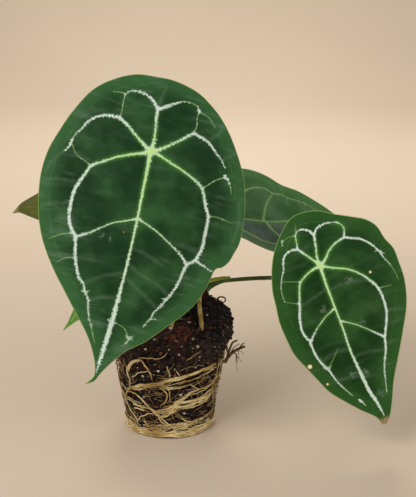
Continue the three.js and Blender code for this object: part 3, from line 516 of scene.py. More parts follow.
REAR_LEAF = {
    "name": "leaf_3", "star": (40.6, 35, 142.7), "towards_tip": (0.929, 0.331, -0.166),
    "faces": (0.267, -0.289, 0.919), "tip": 108, "back": 37, "half_width": 44, "droop": 10, "rear": 10,
    "fold": 12, "cup": -4, "vein_scale": 0.9,
    "outline": [
        (-38, 4), (-30, 12), (-16, 22), (0, 32), (8, 42), (17, 50), (26, 52), (38, 50), (52, 45), (66, 37),
        (80, 28), (94, 17), (104, 8), (112, 1), (108, -8), (100, -18), (89, -27), (78, -34), (69, -39),
        (55, -43), (44, -51), (33, -55), (20, -55), (6, -52), (-10, -45), (-24, -34), (-34, -20), (-38, -6),
    ],
    "veins": [
        ("pale", [(0, 0), (14, -0.5), (33.5, -0.5), (56.5, -5), (80, -6), (106, -2)]),
        ("pale", [(0, 0), (8, -14), (22, -30), (27.5, -34), (33.5, -36), (39, -36), (45.5, -32), (51.5, -32),
                  (59.5, -29), (69, -27.5), (94, -13)]),
        ("pale", [(0, 0), (3, 12), (6.5, 19.5), (12.5, 29.5), (17.5, 35), (24.5, 37.5), (38, 37), (54, 31),
                  (78, 18), (94, 9)]),
        ("pale", [(30, -1.5), (34.5, -14), (39, -22.5), (45, -31)]),
        ("pale", [(32, 0.5), (31.5, 13.5), (33.5, 22), (36, 37)]),
        ("pale", [(0, 0), (-12, 0), (-22, 1)]), ("pale", [(-22, 1), (-28, -8), (-24, -24), (-14, -30)]),
        ("pale", [(0, 0), (-7, 7), (-12, 15), (-2, 25)]),
        ("pale", [(0, 0), (-8, -12), (-14, -24), (-8, -36), (14, -46)]),
        ("spur", [(57, -29), (56, -25), (55, -21)]), ("spur", [(71, -27), (70, -22), (68, -16)]),
    ],
    "threads": [
        [(20, -49), (40, -46), (60, -36)], [(60, -5), (64, -15), (72, -26)], [(56, -4), (58, 14), (60, 27)],
        [(16, 0), (14, 16), (14, 30)],
    ],
}
print(RIGHT_LEAF["name"], "and", REAR_LEAF["name"], "listed")

# %% The young olive leaf and the low leaf
YOUNG_VEINS = [
    ("pale", [(0, 0), (30, 0), (57, 0)]), ("pale", [(0, 0), (6, 9), (20, 13), (36, 9), (50, 3)]),
    ("pale", [(0, 0), (6, -9), (20, -13), (36, -9), (50, -3)]), ("pale", [(0, 0), (-13, 0)]),
    ("pale", [(0, 0), (-8, 9), (2, 17)]), ("pale", [(0, 0), (-8, -9), (2, -17)]),
]
YOUNG_THREADS = [
    [(16, 0), (19, 7), (24, 12)], [(16, 0), (19, -7), (24, -12)],
    [(32, 0), (34, 5), (38, 8)], [(32, 0), (34, -5), (38, -8)],
]
YOUNG_LEAF = {
    "name": "leaf_4", "star": (-54, 24, 160), "towards_tip": (-0.94, 0.26, -0.175),
    "faces": (-0.1, -0.72, 0.68), "tip": 62, "back": 20, "half_width": 25, "droop": 6, "rear": 8,
    "fold": 5, "cup": 12, "vein_scale": 0.6,
    "outline": [
        (-20, 0), (-17, 10), (-9, 17), (3, 21), (16, 20), (30, 15.5), (44, 10), (53, 6.5), (59, 3.5),
        (64, -3), (59, -3), (53, -6), (44, -11), (30, -18), (16, -22), (3, -22), (-9, -18), (-17, -10),
    ],
    "veins": YOUNG_VEINS, "threads": YOUNG_THREADS, "dry_from": 59,
}
LOW_VEIN_SHARE = 0.88
LOW_LEAF = {
    "name": "leaf_5", "star": (-38, 4, 114.8), "towards_tip": (-0.66, -0.1, -0.745),
    "faces": (-0.45, -0.62, 0.64), "tip": 58, "back": 18, "half_width": 22, "droop": 6, "rear": 12,
    "fold": 6, "cup": -12, "vein_scale": 0.6,
    "outline": [
        (-18, 0), (-16, 9), (-8, 16), (3, 19), (15, 17.5), (28, 12), (38, 7), (46, 3.5), (53, 1.3), (59, 0),
        (53, -2), (46, -5), (38, -10), (28, -16), (15, -20), (3, -20), (-8, -16), (-16, -9),
    ],
    "veins": [(kind, [(LOW_VEIN_SHARE * s, LOW_VEIN_SHARE * w) for s, w in route])
              for kind, route in YOUNG_VEINS],
    "threads": YOUNG_THREADS,
}
LEAVES = [FRONT_LEAF, RIGHT_LEAF, REAR_LEAF, YOUNG_LEAF, LOW_LEAF]
print("leaves:", [leaf["name"] for leaf in LEAVES])

# %% [markdown]
# ## Leaves: from the drawing to a mesh
#
# The filling is a Delaunay triangulation with fixed edges, which Blender's mathutils brings along. It gets
# the outline, a second line just inside it for the pale margin, every vein, and an even lattice between
# them. Small rings of points keep the specks round.

# %% Filling a drawn blade
FILL = {"outline_step": 0.9, "inset": 0.6, "inset_clear": 0.5, "vein_clear": 0.7, "lattice_clear": 0.55}
MARK_RINGS = (0, 0.6, 1.2)
CHUNK = 500


def lattice(outline, step):
    """An even lattice of triangles' corners over the outline's box."""
    low, high = outline.min(0), outline.max(0)
    rows = np.arange(low[0], high[0], step * math.sin(math.pi / 3))
    columns = np.arange(low[1], high[1], step)
    places = [(s, w + (step / 2) * (i % 2)) for i, s in enumerate(rows) for w in columns]
    return np.array(places)


def thin_out(points, keep_clear_of, gap):
    """The points that stand at least the gap away from the others."""
    kept = []
    for chunk in np.array_split(points, max(1, len(points) // CHUNK)):
        nearest = np.full(len(chunk), 1e9)
        for block in np.array_split(keep_clear_of, max(1, len(keep_clear_of) // CHUNK)):
            gaps = np.linalg.norm(chunk[:, None] - block[None], axis=2).min(1)
            nearest = np.minimum(nearest, gaps)
        kept.append(chunk[nearest > gap])
    return np.vstack(kept)


def clear_of_rim(places, outline, gap):
    """The places inside the outline that stand more than the gap away from it."""
    inner = places[inside_outline(places, outline)]
    return inner[line_distance(inner, np.vstack([outline, outline[:1]]))[0] > gap]


def inset_line(outline):
    """A second line just inside the outline."""
    tangent = np.roll(outline, -1, axis=0) - np.roll(outline, 1, axis=0)
    inward = np.column_stack([-tangent[:, 1], tangent[:, 0]]) / np.linalg.norm(tangent, axis=1)[:, None]
    inward *= np.sign(np.sum(inward * (outline.mean(0) - outline), axis=1).mean())
    return clear_of_rim(outline + FILL["inset"] * inward, outline, FILL["inset_clear"])


def mark_rings(leaf):
    """Points round the middle of each speck and bruise, a radian apart."""
    rings = []
    for s, w, radius in leaf.get("spots", []) + leaf.get("bruises", []):
        reaches = [radius * share for share in MARK_RINGS]
        rings.append([(s + r * math.cos(a), w + r * math.sin(a)) for r in reaches for a in range(7)])
    return rings


def filled_drawing(leaf, outline, step):
    """Flat points and triangles of a blade, with edges on its outline and veins."""
    points, edges = [*outline], [(i, (i + 1) % len(outline)) for i in range(len(outline))]
    for line in leaf["vein_lines"]:
        start = len(points)
        inner = clear_of_rim(line[:, :2], outline, FILL["vein_clear"])
        points += [*inner]
        edges += [(start + i, start + i + 1) for i in range(len(inner) - 1)]
    fixed = np.vstack([np.array(points), inset_line(outline), *mark_rings(leaf)])
    inner = lattice(outline, step)
    inner = thin_out(inner[inside_outline(inner, outline)], fixed, step * FILL["lattice_clear"])
    found = delaunay_2d_cdt([Vector(p) for p in np.vstack([fixed, inner])], edges, [], 0, 1e-4)
    flat = np.array([tuple(p) for p in found[0]])
    triangles = np.array([face for face in found[2] if len(face) == 3])
    triangles = triangles[inside_outline(flat[triangles].mean(1), outline)]
    used = np.unique(triangles)
    renumber = np.full(len(flat), -1)
    renumber[used] = np.arange(len(used))
    return flat[used], renumber[triangles]


def open_edges(triangles):
    """The directed edges that only one triangle has."""
    sides = np.vstack([triangles[:, [0, 1]], triangles[:, [1, 2]], triangles[:, [2, 0]]])
    known = set(map(tuple, sides.tolist()))
    return [side for side in known if (side[1], side[0]) not in known]


print("a blade's veins stay clear of its rim by", FILL["vein_clear"], "mm")

# %% [markdown]
# ## Leaves: what each point knows
#
# Materials can't see a vein, so its pattern is stored on the mesh. Each point keeps how deep it lies inside
# the silver, the core and the thread of the nearest vein, how far along the vein it is, and its distances to
# the margin and to the specks. The material then draws the silver exactly where the mesh has its valleys.

# %% Numbers for the pattern
OUTSIDE = -9.0
FARTHEST = 15.0
THINNEST = 0.02
RUN_SHIFT = 60
THREAD = {"half_width": 0.9, "step": 1.5}
DRY_SPAN = 2.5


def vein_marks(leaf, flat):
    """How deep each point lies in the bands of its vein, and its distance to the nearest vein of weight."""
    marks = {name: np.full(len(flat), OUTSIDE) for name in ("silver", "core", "green")}
    marks["run"], marks["side"] = np.zeros(len(flat)), np.zeros(len(flat))
    to_vein = np.full(len(flat), FARTHEST)
    for number, ((kind, _), line) in enumerate(zip(leaf["veins"], leaf["vein_lines"])):
        gap, halves, hand = line_distance(flat, line)
        band = halves[:, 0] - gap
        wins = band > marks["silver"]
        marks["silver"][wins] = band[wins]
        marks["side"][wins] = hand[wins]
        marks["run"][wins] = halves[wins, 3] + RUN_SHIFT * number
        for name, half in (("core", halves[:, 1]), ("green", halves[:, 2])):
            marks[name] = np.maximum(marks[name], np.where(half > THINNEST, half - gap, OUTSIDE))
        if "spur" not in kind and kind != "green":
            to_vein = np.minimum(to_vein, gap)
    return marks, to_vein


def surface_marks(leaf, flat, outline):
    """Distances to the margin and to the threads, specks, bruises, smudges and dry tip of a blade."""
    s, w = flat.T
    marks = {name: np.full(len(flat), OUTSIDE) for name in ("thread", "spot", "bruise")}
    for route in leaf["threads"]:
        gap = line_distance(flat, smooth_line(route, THREAD["step"]))[0]
        marks["thread"] = np.maximum(marks["thread"], THREAD["half_width"] - gap)
    for name, places in (("spot", leaf.get("spots", [])), ("bruise", leaf.get("bruises", []))):
        for centre_s, centre_w, radius in places:
            marks[name] = np.maximum(marks[name], radius - np.hypot(s - centre_s, w - centre_w))
    marks["smudge"] = np.zeros(len(flat))
    for centre_s, centre_w, radius in leaf.get("smudges", []):
        nearness = 1 - np.hypot(s - centre_s, w - centre_w) / radius
        marks["smudge"] = np.maximum(marks["smudge"], nearness)
    marks["margin"] = line_distance(flat, np.vstack([outline, outline[:1]]))[0]
    marks["dry"] = np.clip((s - leaf["dry_from"]) / DRY_SPAN, 0, 1) if "dry_from" in leaf else 0 * s
    return marks


print("a green thread on a blade is", 2 * THREAD["half_width"], "mm wide")

# %% [markdown]
# ## Leaves: relief and bending
#
# The upper face swells between the veins, dips a little at each vein, ripples across the blade and rounds
# off at the rim. The lower face follows it and has a rib under each vein. Both faces are laid out from the
# bent sheet along its normals and joined round the rim.

# %% Bending the blades
RELIEF = {"lift": 0.25, "thickness": 0.5, "swell": 0.8, "swell_reach": 10.0, "valley": 0.12,
          "valley_reach": 1.2, "rim": 0.12, "rim_reach": 0.5, "rib": 0.5, "rib_reach": 1.6, "ripple": 0.16}
RIPPLE = {"along": 0.3, "across": 0.035, "layer": 0.7, "vein_reach": 4, "rim_reach": 3}
DRAWING_UNIT = 100.0
BLADE_STEPS = {"leaf_1": 1.3, "leaf_2": 1.15, "leaf_3": 1.3, "leaf_4": 1.1, "leaf_5": 1.1}


def ripples(s, w):
    """Fine corrugations that run across the blade."""
    places = [(RIPPLE["along"] * a, RIPPLE["across"] * b, RIPPLE["layer"]) for a, b in zip(s, w)]
    return np.array([noise.fractal(place, 1.0, 2.0, 3) for place in places])


def fall_off(distance, reach):
    return np.exp(-((distance / reach) ** 2))


def face_heights(s, w, to_vein, margin):
    """How far the upper and the lower face stand from the bent sheet, in millimetres."""
    swell = RELIEF["swell"] * (1 - fall_off(to_vein, RELIEF["swell_reach"]))
    calm = np.clip(to_vein / RIPPLE["vein_reach"], 0, 1)
    ripple = RELIEF["ripple"] * ripples(s, w) * calm * np.clip(margin / RIPPLE["rim_reach"], 0, 1)
    valley = -RELIEF["valley"] * fall_off(to_vein, RELIEF["valley_reach"])
    rounded = -RELIEF["rim"] * fall_off(margin, RELIEF["rim_reach"])
    rib = RELIEF["rib"] * fall_off(to_vein, RELIEF["rib_reach"])
    top = RELIEF["lift"] + swell + ripple + valley + rounded
    return top, top - RELIEF["thickness"] - rib - 2 * rounded


def make_blade(leaf, step):
    leaf["vein_lines"] = [vein_line(kind, route, leaf["vein_scale"]) for kind, route in leaf["veins"]]
    outline = smooth_line(leaf["outline"], step * FILL["outline_step"], closed=True)
    flat, triangles = filled_drawing(leaf, outline, step)
    marks, to_vein = vein_marks(leaf, flat)
    marks.update(surface_marks(leaf, flat, outline))

    s, w = flat.T
    top, below = face_heights(s, w, to_vein, marks["margin"])
    places, normals = bent_sheet(leaf, s, w), sheet_normals(leaf, s, w)
    points = np.vstack([places + normals * top[:, None], places + normals * below[:, None]])
    under = len(flat)
    faces = [(a, c, b) for a, b, c in triangles.tolist()]
    faces += [(a + under, b + under, c + under) for a, b, c in triangles.tolist()]
    faces += [(a, b, b + under, a + under) for a, b in open_edges(triangles)]

    piece = mesh_object(leaf["name"], points, faces)
    for name, values in marks.items():
        give_attribute(piece, name, np.concatenate([values, values]))
    give_attribute(piece, "underside", np.repeat([0.0, 1.0], under))
    loops = np.zeros(len(piece.data.loops), int)
    piece.data.loops.foreach_get("vertex_index", loops)
    drawing = np.vstack([flat, flat])[loops] / DRAWING_UNIT
    piece.data.uv_layers.new(name="drawing").data.foreach_set("uv", drawing.ravel())
    piece.data.shade_smooth()
    return piece


blades = {leaf["name"]: make_blade(leaf, BLADE_STEPS[leaf["name"]]) for leaf in LEAVES}
print({name: len(blade.data.vertices) for name, blade in blades.items()})

# %% [markdown]
# ## Leaves: the velvet finish
#
# The blade is a dark bottle green with a satin sheen, lighter towards the margin and crossed by faint pale
# streaks, which are a painted highlight on its fine ripples. The veins are silver with frayed edges, and glow
# yellow-green at the star. A thin pale line runs round the margin, and there are dusty smudges, a few specks
# and two dry tips. The pattern reads the drawing's own coordinates from the UV map, so it follows the blade
# wherever it bends. Each leaf has its own row of colours, and the same functions paint them all, one layer
# over the other.

# %% Leaf colours
SILVER, STAR_GREEN = colour(212, 234, 218), colour(190, 236, 124)
RIM, VEIN_GLOW = colour(160, 186, 100), colour(76, 140, 50)
USUAL_LOOK = {"highlight_streak": 0.2, "fray": 6.2, "glow": None, "painted_sheen_and_shade": None}
LEAF_LOOKS = {
    "leaf_1": {"title": "velvet green front", "dark": colour(24, 56, 28), "light": colour(52, 92, 50),
               "fringe": colour(60, 106, 60), "silver": SILVER, "core": STAR_GREEN, "rim": RIM,
               "gloss": 0.07, "glow": VEIN_GLOW},
    "leaf_2": {"title": "velvet green right", "dark": colour(24, 58, 22), "light": colour(50, 88, 42),
               "fringe": colour(50, 92, 40), "silver": SILVER, "core": STAR_GREEN, "rim": RIM,
               "gloss": 0.07, "glow": VEIN_GLOW, "highlight_streak": 0.1, "fray": 4.2},
    "leaf_3": {"title": "satin green rear", "dark": colour(52, 94, 48), "light": colour(80, 114, 76),
               "fringe": colour(72, 118, 62), "silver": colour(150, 184, 132),
               "core": colour(130, 172, 86), "rim": RIM, "gloss": 0.12, "painted_sheen_and_shade": colour(36, 64, 56)},
    "leaf_4": {"title": "young olive", "dark": colour(80, 84, 34), "light": colour(98, 102, 46),
               "fringe": colour(90, 94, 38), "silver": colour(118, 122, 64), "core": colour(106, 112, 54),
               "rim": colour(100, 104, 50), "gloss": 0.15},
    "leaf_5": {"title": "young green", "dark": colour(60, 96, 40), "light": colour(92, 132, 60),
               "fringe": colour(98, 144, 64), "silver": colour(176, 204, 132),
               "core": colour(168, 206, 112), "rim": RIM, "gloss": 0.15},
}
SMUDGE, BRUISE = colour(136, 156, 138), colour(168, 140, 84)
SPECK_RING, SPECK = colour(196, 182, 84), colour(250, 236, 206)
DRY_DARK, DRY_LIGHT = colour(86, 70, 34), colour(196, 180, 122)
UNDERSIDE, UNDER_VEIN = colour(96, 124, 80), colour(150, 170, 120)
VELVET = {"bump": 0.00008, "sheen": 0.01, "sheen_roughness": 0.45, "sheen_tint": colour(150, 190, 160)}
print("leaf looks:", [look["title"] for look in LEAF_LOOKS.values()])


# %% The blade between its veins
def from_star(tree, drawing):
    return tree.add("ShaderNodeVectorMath", {0: drawing}, operation="LENGTH").outputs["Value"]


def lamina_colour(tree, drawing, ripple_and_highlight_noise, look):
    """Mottled green that lightens to the fringe, with pale streaks of painted highlight and a faint line
    inside the margin.
    """
    margin = tree.attribute("margin")
    lamina = tree.group(MOTTLE, {"Place": drawing, "Scale": 0.035, "First": look["dark"],
                                 "Second": look["light"], "Low": 0.38, "High": 0.75})
    # On the rear leaf the half below the midrib turns a darker bluish grey: a painted sheen and shade.
    if look["painted_sheen_and_shade"]:
        across = tree.add("ShaderNodeSeparateXYZ", {0: drawing}).outputs[1]
        lamina = tree.mix(tree.fit(across, -3.0, 14.0, 0.0, 0.8), lamina, look["painted_sheen_and_shade"])
    lamina = tree.mix(tree.fit(margin, 18.0, 1.0, 0.0, 0.75), lamina, look["fringe"])
    # The pale streaks are a painted highlight on the fine ripples, stronger towards the margin.
    outer = tree.fit(margin, 46.0, 14.0, 0.25, 1.0)
    painted_highlight_streaks = tree.math("MULTIPLY", tree.fit(ripple_and_highlight_noise, 0.5, 0.8, 0.0, look["highlight_streak"]), outer)
    pale_green = tree.mix(0.4, look["fringe"], look["silver"])
    lamina = tree.mix(painted_highlight_streaks, lamina, pale_green)
    line_gap = tree.math("ABSOLUTE", tree.math("SUBTRACT", margin, 7.5))
    broken = tree.fit(tree.noise(drawing, 0.12), 0.42, 0.6)
    submargin = tree.math("MULTIPLY", tree.fit(line_gap, 0.8, 0.1, 0.0, 0.1), broken)
    vein_green = tree.mix(0.4, look["fringe"], look["core"])
    lamina = tree.mix(submargin, lamina, vein_green)
    thread = tree.group(RAGGED_BAND, {"Band": tree.attribute("thread"), "Place": drawing, "Fray": 3.0,
                                      "Size": 0.25, "Softness": 1.3})
    lamina = tree.mix(tree.math("MULTIPLY", thread, 0.13), lamina, pale_green)
    near_star = tree.fit(from_star(tree, drawing), 90.0, 5.0)
    halo = tree.math("MULTIPLY", tree.fit(tree.attribute("core"), -2.6, 0.2, 0.0, 0.65), near_star)
    lamina = tree.mix(halo, lamina, look["glow"] or vein_green)
    dusty = tree.fit(tree.noise(drawing, 0.4), 0.38, 0.7, 0.0, 0.5)
    cloud = tree.math("MULTIPLY", tree.fit(tree.attribute("smudge"), 0.0, 0.7), dusty)
    lamina = tree.mix(cloud, lamina, SMUDGE)
    green = tree.fit(tree.attribute("green"), -0.35, 0.35, 0.0, 0.55)
    return tree.mix(green, lamina, vein_green)


print("lamina layers ready")


# %% Veins, marks and the whole leaf material
def frayed_silver(tree, fray):
    """A mask of the silver band. Its teeth are laid out along the vein, apart for each side of it."""
    along = tree.math("MULTIPLY", tree.attribute("run"), 0.8)
    place = tree.add("ShaderNodeCombineXYZ", {0: along, 1: tree.attribute("side")}).outputs[0]
    return tree.group(RAGGED_BAND, {"Band": tree.attribute("silver"), "Place": place, "Fray": fray,
                                    "Size": 1.1, "Softness": 0.3})


def with_core(tree, drawing, base, look):
    """The colour with the yellow-green core of each vein, which pales away from the star."""
    core_mask = tree.group(RAGGED_BAND, {"Band": tree.attribute("core"), "Place": drawing, "Fray": 0.4,
                                         "Size": 0.6, "Softness": 0.35})
    far_core = tree.mix(0.45, look["core"], look["silver"])
    core_colour = tree.mix(tree.fit(from_star(tree, drawing), 0.0, 60.0), look["core"], far_core)
    return tree.mix(tree.math("MULTIPLY", core_mask, 0.8), base, core_colour)


def with_marks(tree, drawing, base, rim):
    """The colour with the bruise, the specks, the pale rim, the dry tip and the underside."""
    bruise = tree.fit(tree.attribute("bruise"), -0.1, 0.3, 0.0, 0.8)
    base = tree.mix(bruise, base, BRUISE)
    spot = tree.attribute("spot")
    base = tree.mix(tree.fit(spot, -0.3, 0.15, 0.0, 0.85), base, SPECK_RING)
    base = tree.mix(tree.fit(spot, 0.1, 0.5, 0.0, 0.95), base, SPECK)
    base = tree.mix(tree.fit(tree.attribute("margin"), 0.6, 0.2, 0.0, 0.75), base, rim)
    dry = tree.group(MOTTLE, {"Place": drawing, "Scale": 1.2, "First": DRY_DARK, "Second": DRY_LIGHT})
    base = tree.mix(tree.attribute("dry"), base, dry)
    under_vein = tree.fit(tree.attribute("silver"), -0.6, 0.4, 0.0, 0.7)
    pale = tree.mix(under_vein, UNDERSIDE, UNDER_VEIN)
    return tree.mix(tree.attribute("underside"), base, pale)


def leaf_finish(look):
    material, tree, shader = new_material(look["title"])
    uv = tree.add("ShaderNodeUVMap", uv_map="drawing").outputs[0]
    drawing = tree.scale(uv, DRAWING_UNIT)
    ripple_and_highlight_noise = tree.noise(tree.scale(drawing, (0.16, 0.035, 1.0)), 1.0, detail=2.0)
    silver_mask = frayed_silver(tree, look["fray"])
    base = lamina_colour(tree, drawing, ripple_and_highlight_noise, look)
    base = tree.mix(silver_mask, base, look["silver"])
    base = with_core(tree, drawing, base, look)
    base = with_marks(tree, drawing, base, look["rim"])

    grain = tree.group(GRAIN, {"Place": drawing, "Coarse": 1.6, "Fine": 5.0, "Fine share": 0.5})
    raised = tree.math("MULTIPLY", ripple_and_highlight_noise, 2.0)
    sunk_veins = tree.math("MULTIPLY", silver_mask, -0.4)
    height = tree.math("ADD", tree.math("ADD", grain, raised), sunk_veins)
    matt = tree.fit(tree.noise(drawing, 0.06), 0.3, 0.7, 0.42, 0.6)
    finish_material(tree, shader, base, matt, height, VELVET["bump"])
    shader.inputs["Sheen Weight"].default_value = VELVET["sheen"]
    shader.inputs["Sheen Roughness"].default_value = VELVET["sheen_roughness"]
    shader.inputs["Sheen Tint"].default_value = VELVET["sheen_tint"]
    shader.inputs["Specular IOR Level"].default_value = look["gloss"]
    return material


BLADE_SLOTS = {"leaf_3": "rear_blade", "leaf_4": "young_blade"}
for number, (name, blade) in enumerate(blades.items(), start=1):
    blade.data.materials.append(leaf_finish({**USUAL_LOOK, **LEAF_LOOKS[name]}))
    fit_piece(blade, BLADE_SLOTS.get(name, "blade"), f"blade_{number}", f"veins_{number}")

# %% [markdown]
# ## Limbs: stem, petioles and roots
#
# Stalks and roots are all round limbs that grow along a line, so one Geometry Nodes tree makes them. It
# takes lines of edges that carry a thickness, wanders off each line by a little, sweeps a circle along it
# and roughens the skin. The inputs name what differs from piece to piece. Two more numbers are kept for the
# finish: a tone for each line, and a crest that says how squarely the skin faces away from the plant's axis.

# %% The limb tree
tree, given, end = start_group(
    "Grown limb",
    "GeometryNodeTree",
    [("Geometry", GEOMETRY, None), ("Sides", INT, 8), ("Wander", FLOAT, 0.0), ("Wander size", FLOAT, 100.0),
     ("Knots", FLOAT, 0.0), ("Knot size", FLOAT, 300.0), ("Material", MATERIAL, None)],
    ("Geometry", GEOMETRY),
)


def wobble(tree, size, amount):
    """A vector of noise round zero, in metres."""
    place = tree.add("GeometryNodeInputPosition").outputs[0]
    cloud = tree.add("ShaderNodeTexNoise", {"Vector": place, "Scale": size, "Detail": 2.0}).outputs[1]
    middle = (0.5, 0.5, 0.5)
    centred = tree.add("ShaderNodeVectorMath", {0: cloud, 1: middle}, operation="SUBTRACT").outputs[0]
    return tree.add("ShaderNodeVectorMath", {0: centred, "Scale": amount}, operation="SCALE").outputs[0]


curve = tree.add("GeometryNodeMeshToCurve", {"Mesh": given["Geometry"]}).outputs[0]
wander = wobble(tree, given["Wander size"], given["Wander"])
moved = tree.add("GeometryNodeSetPosition", {"Geometry": curve, "Offset": wander}).outputs[0]
ring = tree.add("GeometryNodeCurvePrimitiveCircle", {"Resolution": given["Sides"], "Radius": 1.0}).outputs[0]
thickness = tree.add("GeometryNodeInputNamedAttribute", {"Name": "thickness"}, data_type="FLOAT").outputs[0]
swept = tree.add("GeometryNodeCurveToMesh", {"Curve": moved, "Profile Curve": ring, "Scale": thickness,
                                             "Fill Caps": True}).outputs[0]
knots = wobble(tree, given["Knot size"], given["Knots"])
rough = tree.add("GeometryNodeSetPosition", {"Geometry": swept, "Offset": knots}).outputs[0]
soft = tree.add("GeometryNodeSetShadeSmooth", {"Geometry": rough}).outputs[0]
whole = tree.add("GeometryNodeRealizeInstances", {"Geometry": soft}).outputs[0]
dressed = tree.add("GeometryNodeSetMaterial", {"Geometry": whole, "Material": given["Material"]}).outputs[0]
tree.tree.links.new(dressed, end)
LIMB_TREE = tree.tree


def grown(source, tree, name, inputs):
    """Runs a tree on the source object and gives the result as a plain mesh object."""
    modifier = source.modifiers.new("tree", "NODES")
    modifier.node_group = tree
    identifiers = {item.name: item.identifier for item in tree.interface.items_tree if item.in_out == "INPUT"}
    for key, value in inputs.items():
        modifier[identifiers[key]] = value
    bpy.context.view_layer.update()
    evaluated = source.evaluated_get(bpy.context.evaluated_depsgraph_get())
    mesh = bpy.data.meshes.new_from_object(evaluated)
    mesh.name = name
    source.modifiers.remove(modifier)
    piece = bpy.data.objects.new(name, mesh)
    bpy.context.scene.collection.objects.link(piece)
    return piece


TONE_STEP = 0.618


def limb_lines(lines):
    """A mesh of loose lines. Each line is its points in millimetres, its thickness and whether it closes."""
    points, edges, thickness, tone = [], [], [], []
    for number, (places, radii, closed) in enumerate(lines):
        start, count = len(points), len(places)
        points += [*places]
        thickness += [*radii]
        tone += [number * TONE_STEP % 1] * count
        edges += [(start + i, start + i + 1) for i in range(count - 1)]
        if closed:
            edges.append((start + count - 1, start))
    source = mesh_object("lines", np.array(points), [], edges)
    give_attribute(source, "thickness", np.array(thickness) * MM)
    give_attribute(source, "tone", tone)
    return source


def vector_rows(collection, key, count):
    flat = np.zeros(3 * count)
    collection.foreach_get(key, flat)
    return flat.reshape(-1, 3)


def grow_limbs(name, lines, material, inputs):
    """Grows limbs along the lines, stores the crest and keeps them from going below the ground."""
    source = limb_lines(lines)
    piece = grown(source, LIMB_TREE, name, {"Material": material, **inputs})
    bpy.data.objects.remove(source)
    count = len(piece.data.vertices)
    places = vector_rows(piece.data.vertices, "co", count)
    normals = vector_rows(piece.data.vertex_normals, "vector", count)
    outward = places * [1, 1, 0]
    outward /= np.linalg.norm(outward, axis=1)[:, None] + 1e-9
    give_attribute(piece, "crest", (normals * outward).sum(1))
    places[:, 2] = np.maximum(places[:, 2], 0)
    piece.data.vertices.foreach_set("co", places.ravel())
    return piece


print("limb tree inputs:", [item.name for item in LIMB_TREE.interface.items_tree if item.in_out == "INPUT"])

# %% [markdown]
# ## Finishes of the woody and green limbs
#
# Petioles are dark green with paler clouds and a slight gloss. Their colours are lighter than that, a painted
# light that makes up for the shadow that the front leaf casts on the right petiole. The stem is reddish brown
# and cracked. Aerial roots are tan with a papery skin that is streaked along their length. The circling roots
# turn to the mix colour along their sides, which the crest finds: mix stuck there and painted shade in the
# crease against the ball. Every finish is darker in the hollows of its grain, a painted shade. They differ in
# colour and grain only, so one function writes them all, with the mottle and the grain from the shared
# groups.


# %% Limb materials
def limb_finish(name, first, second, scale, coarse, fine, roughness, depth, stretch=(1.0, 1.0, 1.0),
                side_dirt_and_shade=None):
    material, tree, shader = new_material(name)
    place = tree.scale(tree.add("ShaderNodeTexCoord").outputs["Object"], stretch)
    base = tree.group(MOTTLE, {"Place": place, "Scale": scale, "First": first, "Second": second})
    height = tree.group(GRAIN, {"Place": place, "Coarse": coarse, "Fine": fine, "Fine share": 0.5})
    # Darker in the hollows of the grain: a painted shade.
    base = tree.mix(tree.fit(height, 0.9, 0.5, 0.0, 0.45), base, first)
    base = tree.mix(tree.fit(tree.attribute("tone"), 0.55, 1.0, 0.0, 0.55), base, first)
    # Where the skin turns away from the crest it takes the mix colour: mix stuck there and painted shade in
    # the crease against the ball.
    if side_dirt_and_shade:
        base = tree.mix(tree.fit(tree.attribute("crest"), 0.8, 0.3, 0.0, 0.85), base, side_dirt_and_shade)
    skin = tree.fit(height, 0.4, 1.0, roughness, roughness + 0.15)
    finish_material(tree, shader, base, skin, height, depth)
    shader.inputs["Specular IOR Level"].default_value = 0.2
    return material


# The petiole greens are lighter than the real stalks: a painted light that makes up for the front leaf's
# shadow on the right petiole.
PETIOLE_WITH_PAINTED_LIGHT = limb_finish("petiole green painted lighter", colour(74, 96, 46), colour(118, 142, 82), 60, 300, 1500, 0.45, 0.0001)
STEM = limb_finish("stem bark", colour(18, 8, 6), colour(62, 28, 20), 180, 500, 2200, 0.7, 0.0004)
TAN_ROOT = limb_finish("aerial root skin", colour(140, 114, 54), colour(206, 180, 108), 240, 500, 2500, 0.6,
                       0.0002, stretch=(1.0, 1.0, 0.35))
DARK_ROOT = limb_finish("dried root", colour(58, 40, 22), colour(140, 108, 62), 300, 600, 2500, 0.7, 0.0003)
# Its sides take the mix colour: mix stuck there and painted shade in the crease against the ball.
PALE_ROOT = limb_finish("circling root skin", colour(184, 150, 90), colour(252, 232, 174), 70, 800, 2600,
                        0.6, 0.0003, side_dirt_and_shade=colour(40, 22, 14))
print("limb finishes:", PETIOLE_WITH_PAINTED_LIGHT.name, STEM.name, TAN_ROOT.name, DARK_ROOT.name, PALE_ROOT.name)

# %% [markdown]
# ## Petioles
#
# Each petiole leaves the crown thick, thins to a stalk and swells again at the joint behind the star, where
# the plant can turn its blade to the light. The routes are those of the solids, and each ends just under its
# star with a rounded end.

# %% Growing the petioles
STALK = {"base": 2.8, "stalk": 1.45, "joint": 1.9, "flare": 22.0, "joint_length": 9.0, "under_star": 1.0,
         "round_end": 2.2}
PETIOLES = [
    [(21.8, 6, 98), (18, 0, 120), (8, -9, 145), (-2, -20, 175), (-8, -29, 195)],
    [(23, 8, 94), (27.5, 7.5, 99.2), (33, 8, 102.2), (38, 10, 103.2), (44, 11, 103.6), (57, 8, 105.7),
     (72, 0.5, 108.9), (88, -13, 115), (98, -24, 123)],
    [(23.5, 10, 99), (28, 17, 115), (34, 27, 128), (38.5, 33, 135)],
    [(20.5, 10, 99), (10, 16, 124), (-14, 21, 146), (-38, 24, 156), (-49, 25, 158)],
    [(21, 7.5, 97), (9, 3.5, 105), (-8, 4, 113), (-24, 7, 115.5), (-33, 7, 114.2)],
]


def smoothstep(value):
    t = np.clip(value, 0, 1)
    return t * t * (3 - 2 * t)


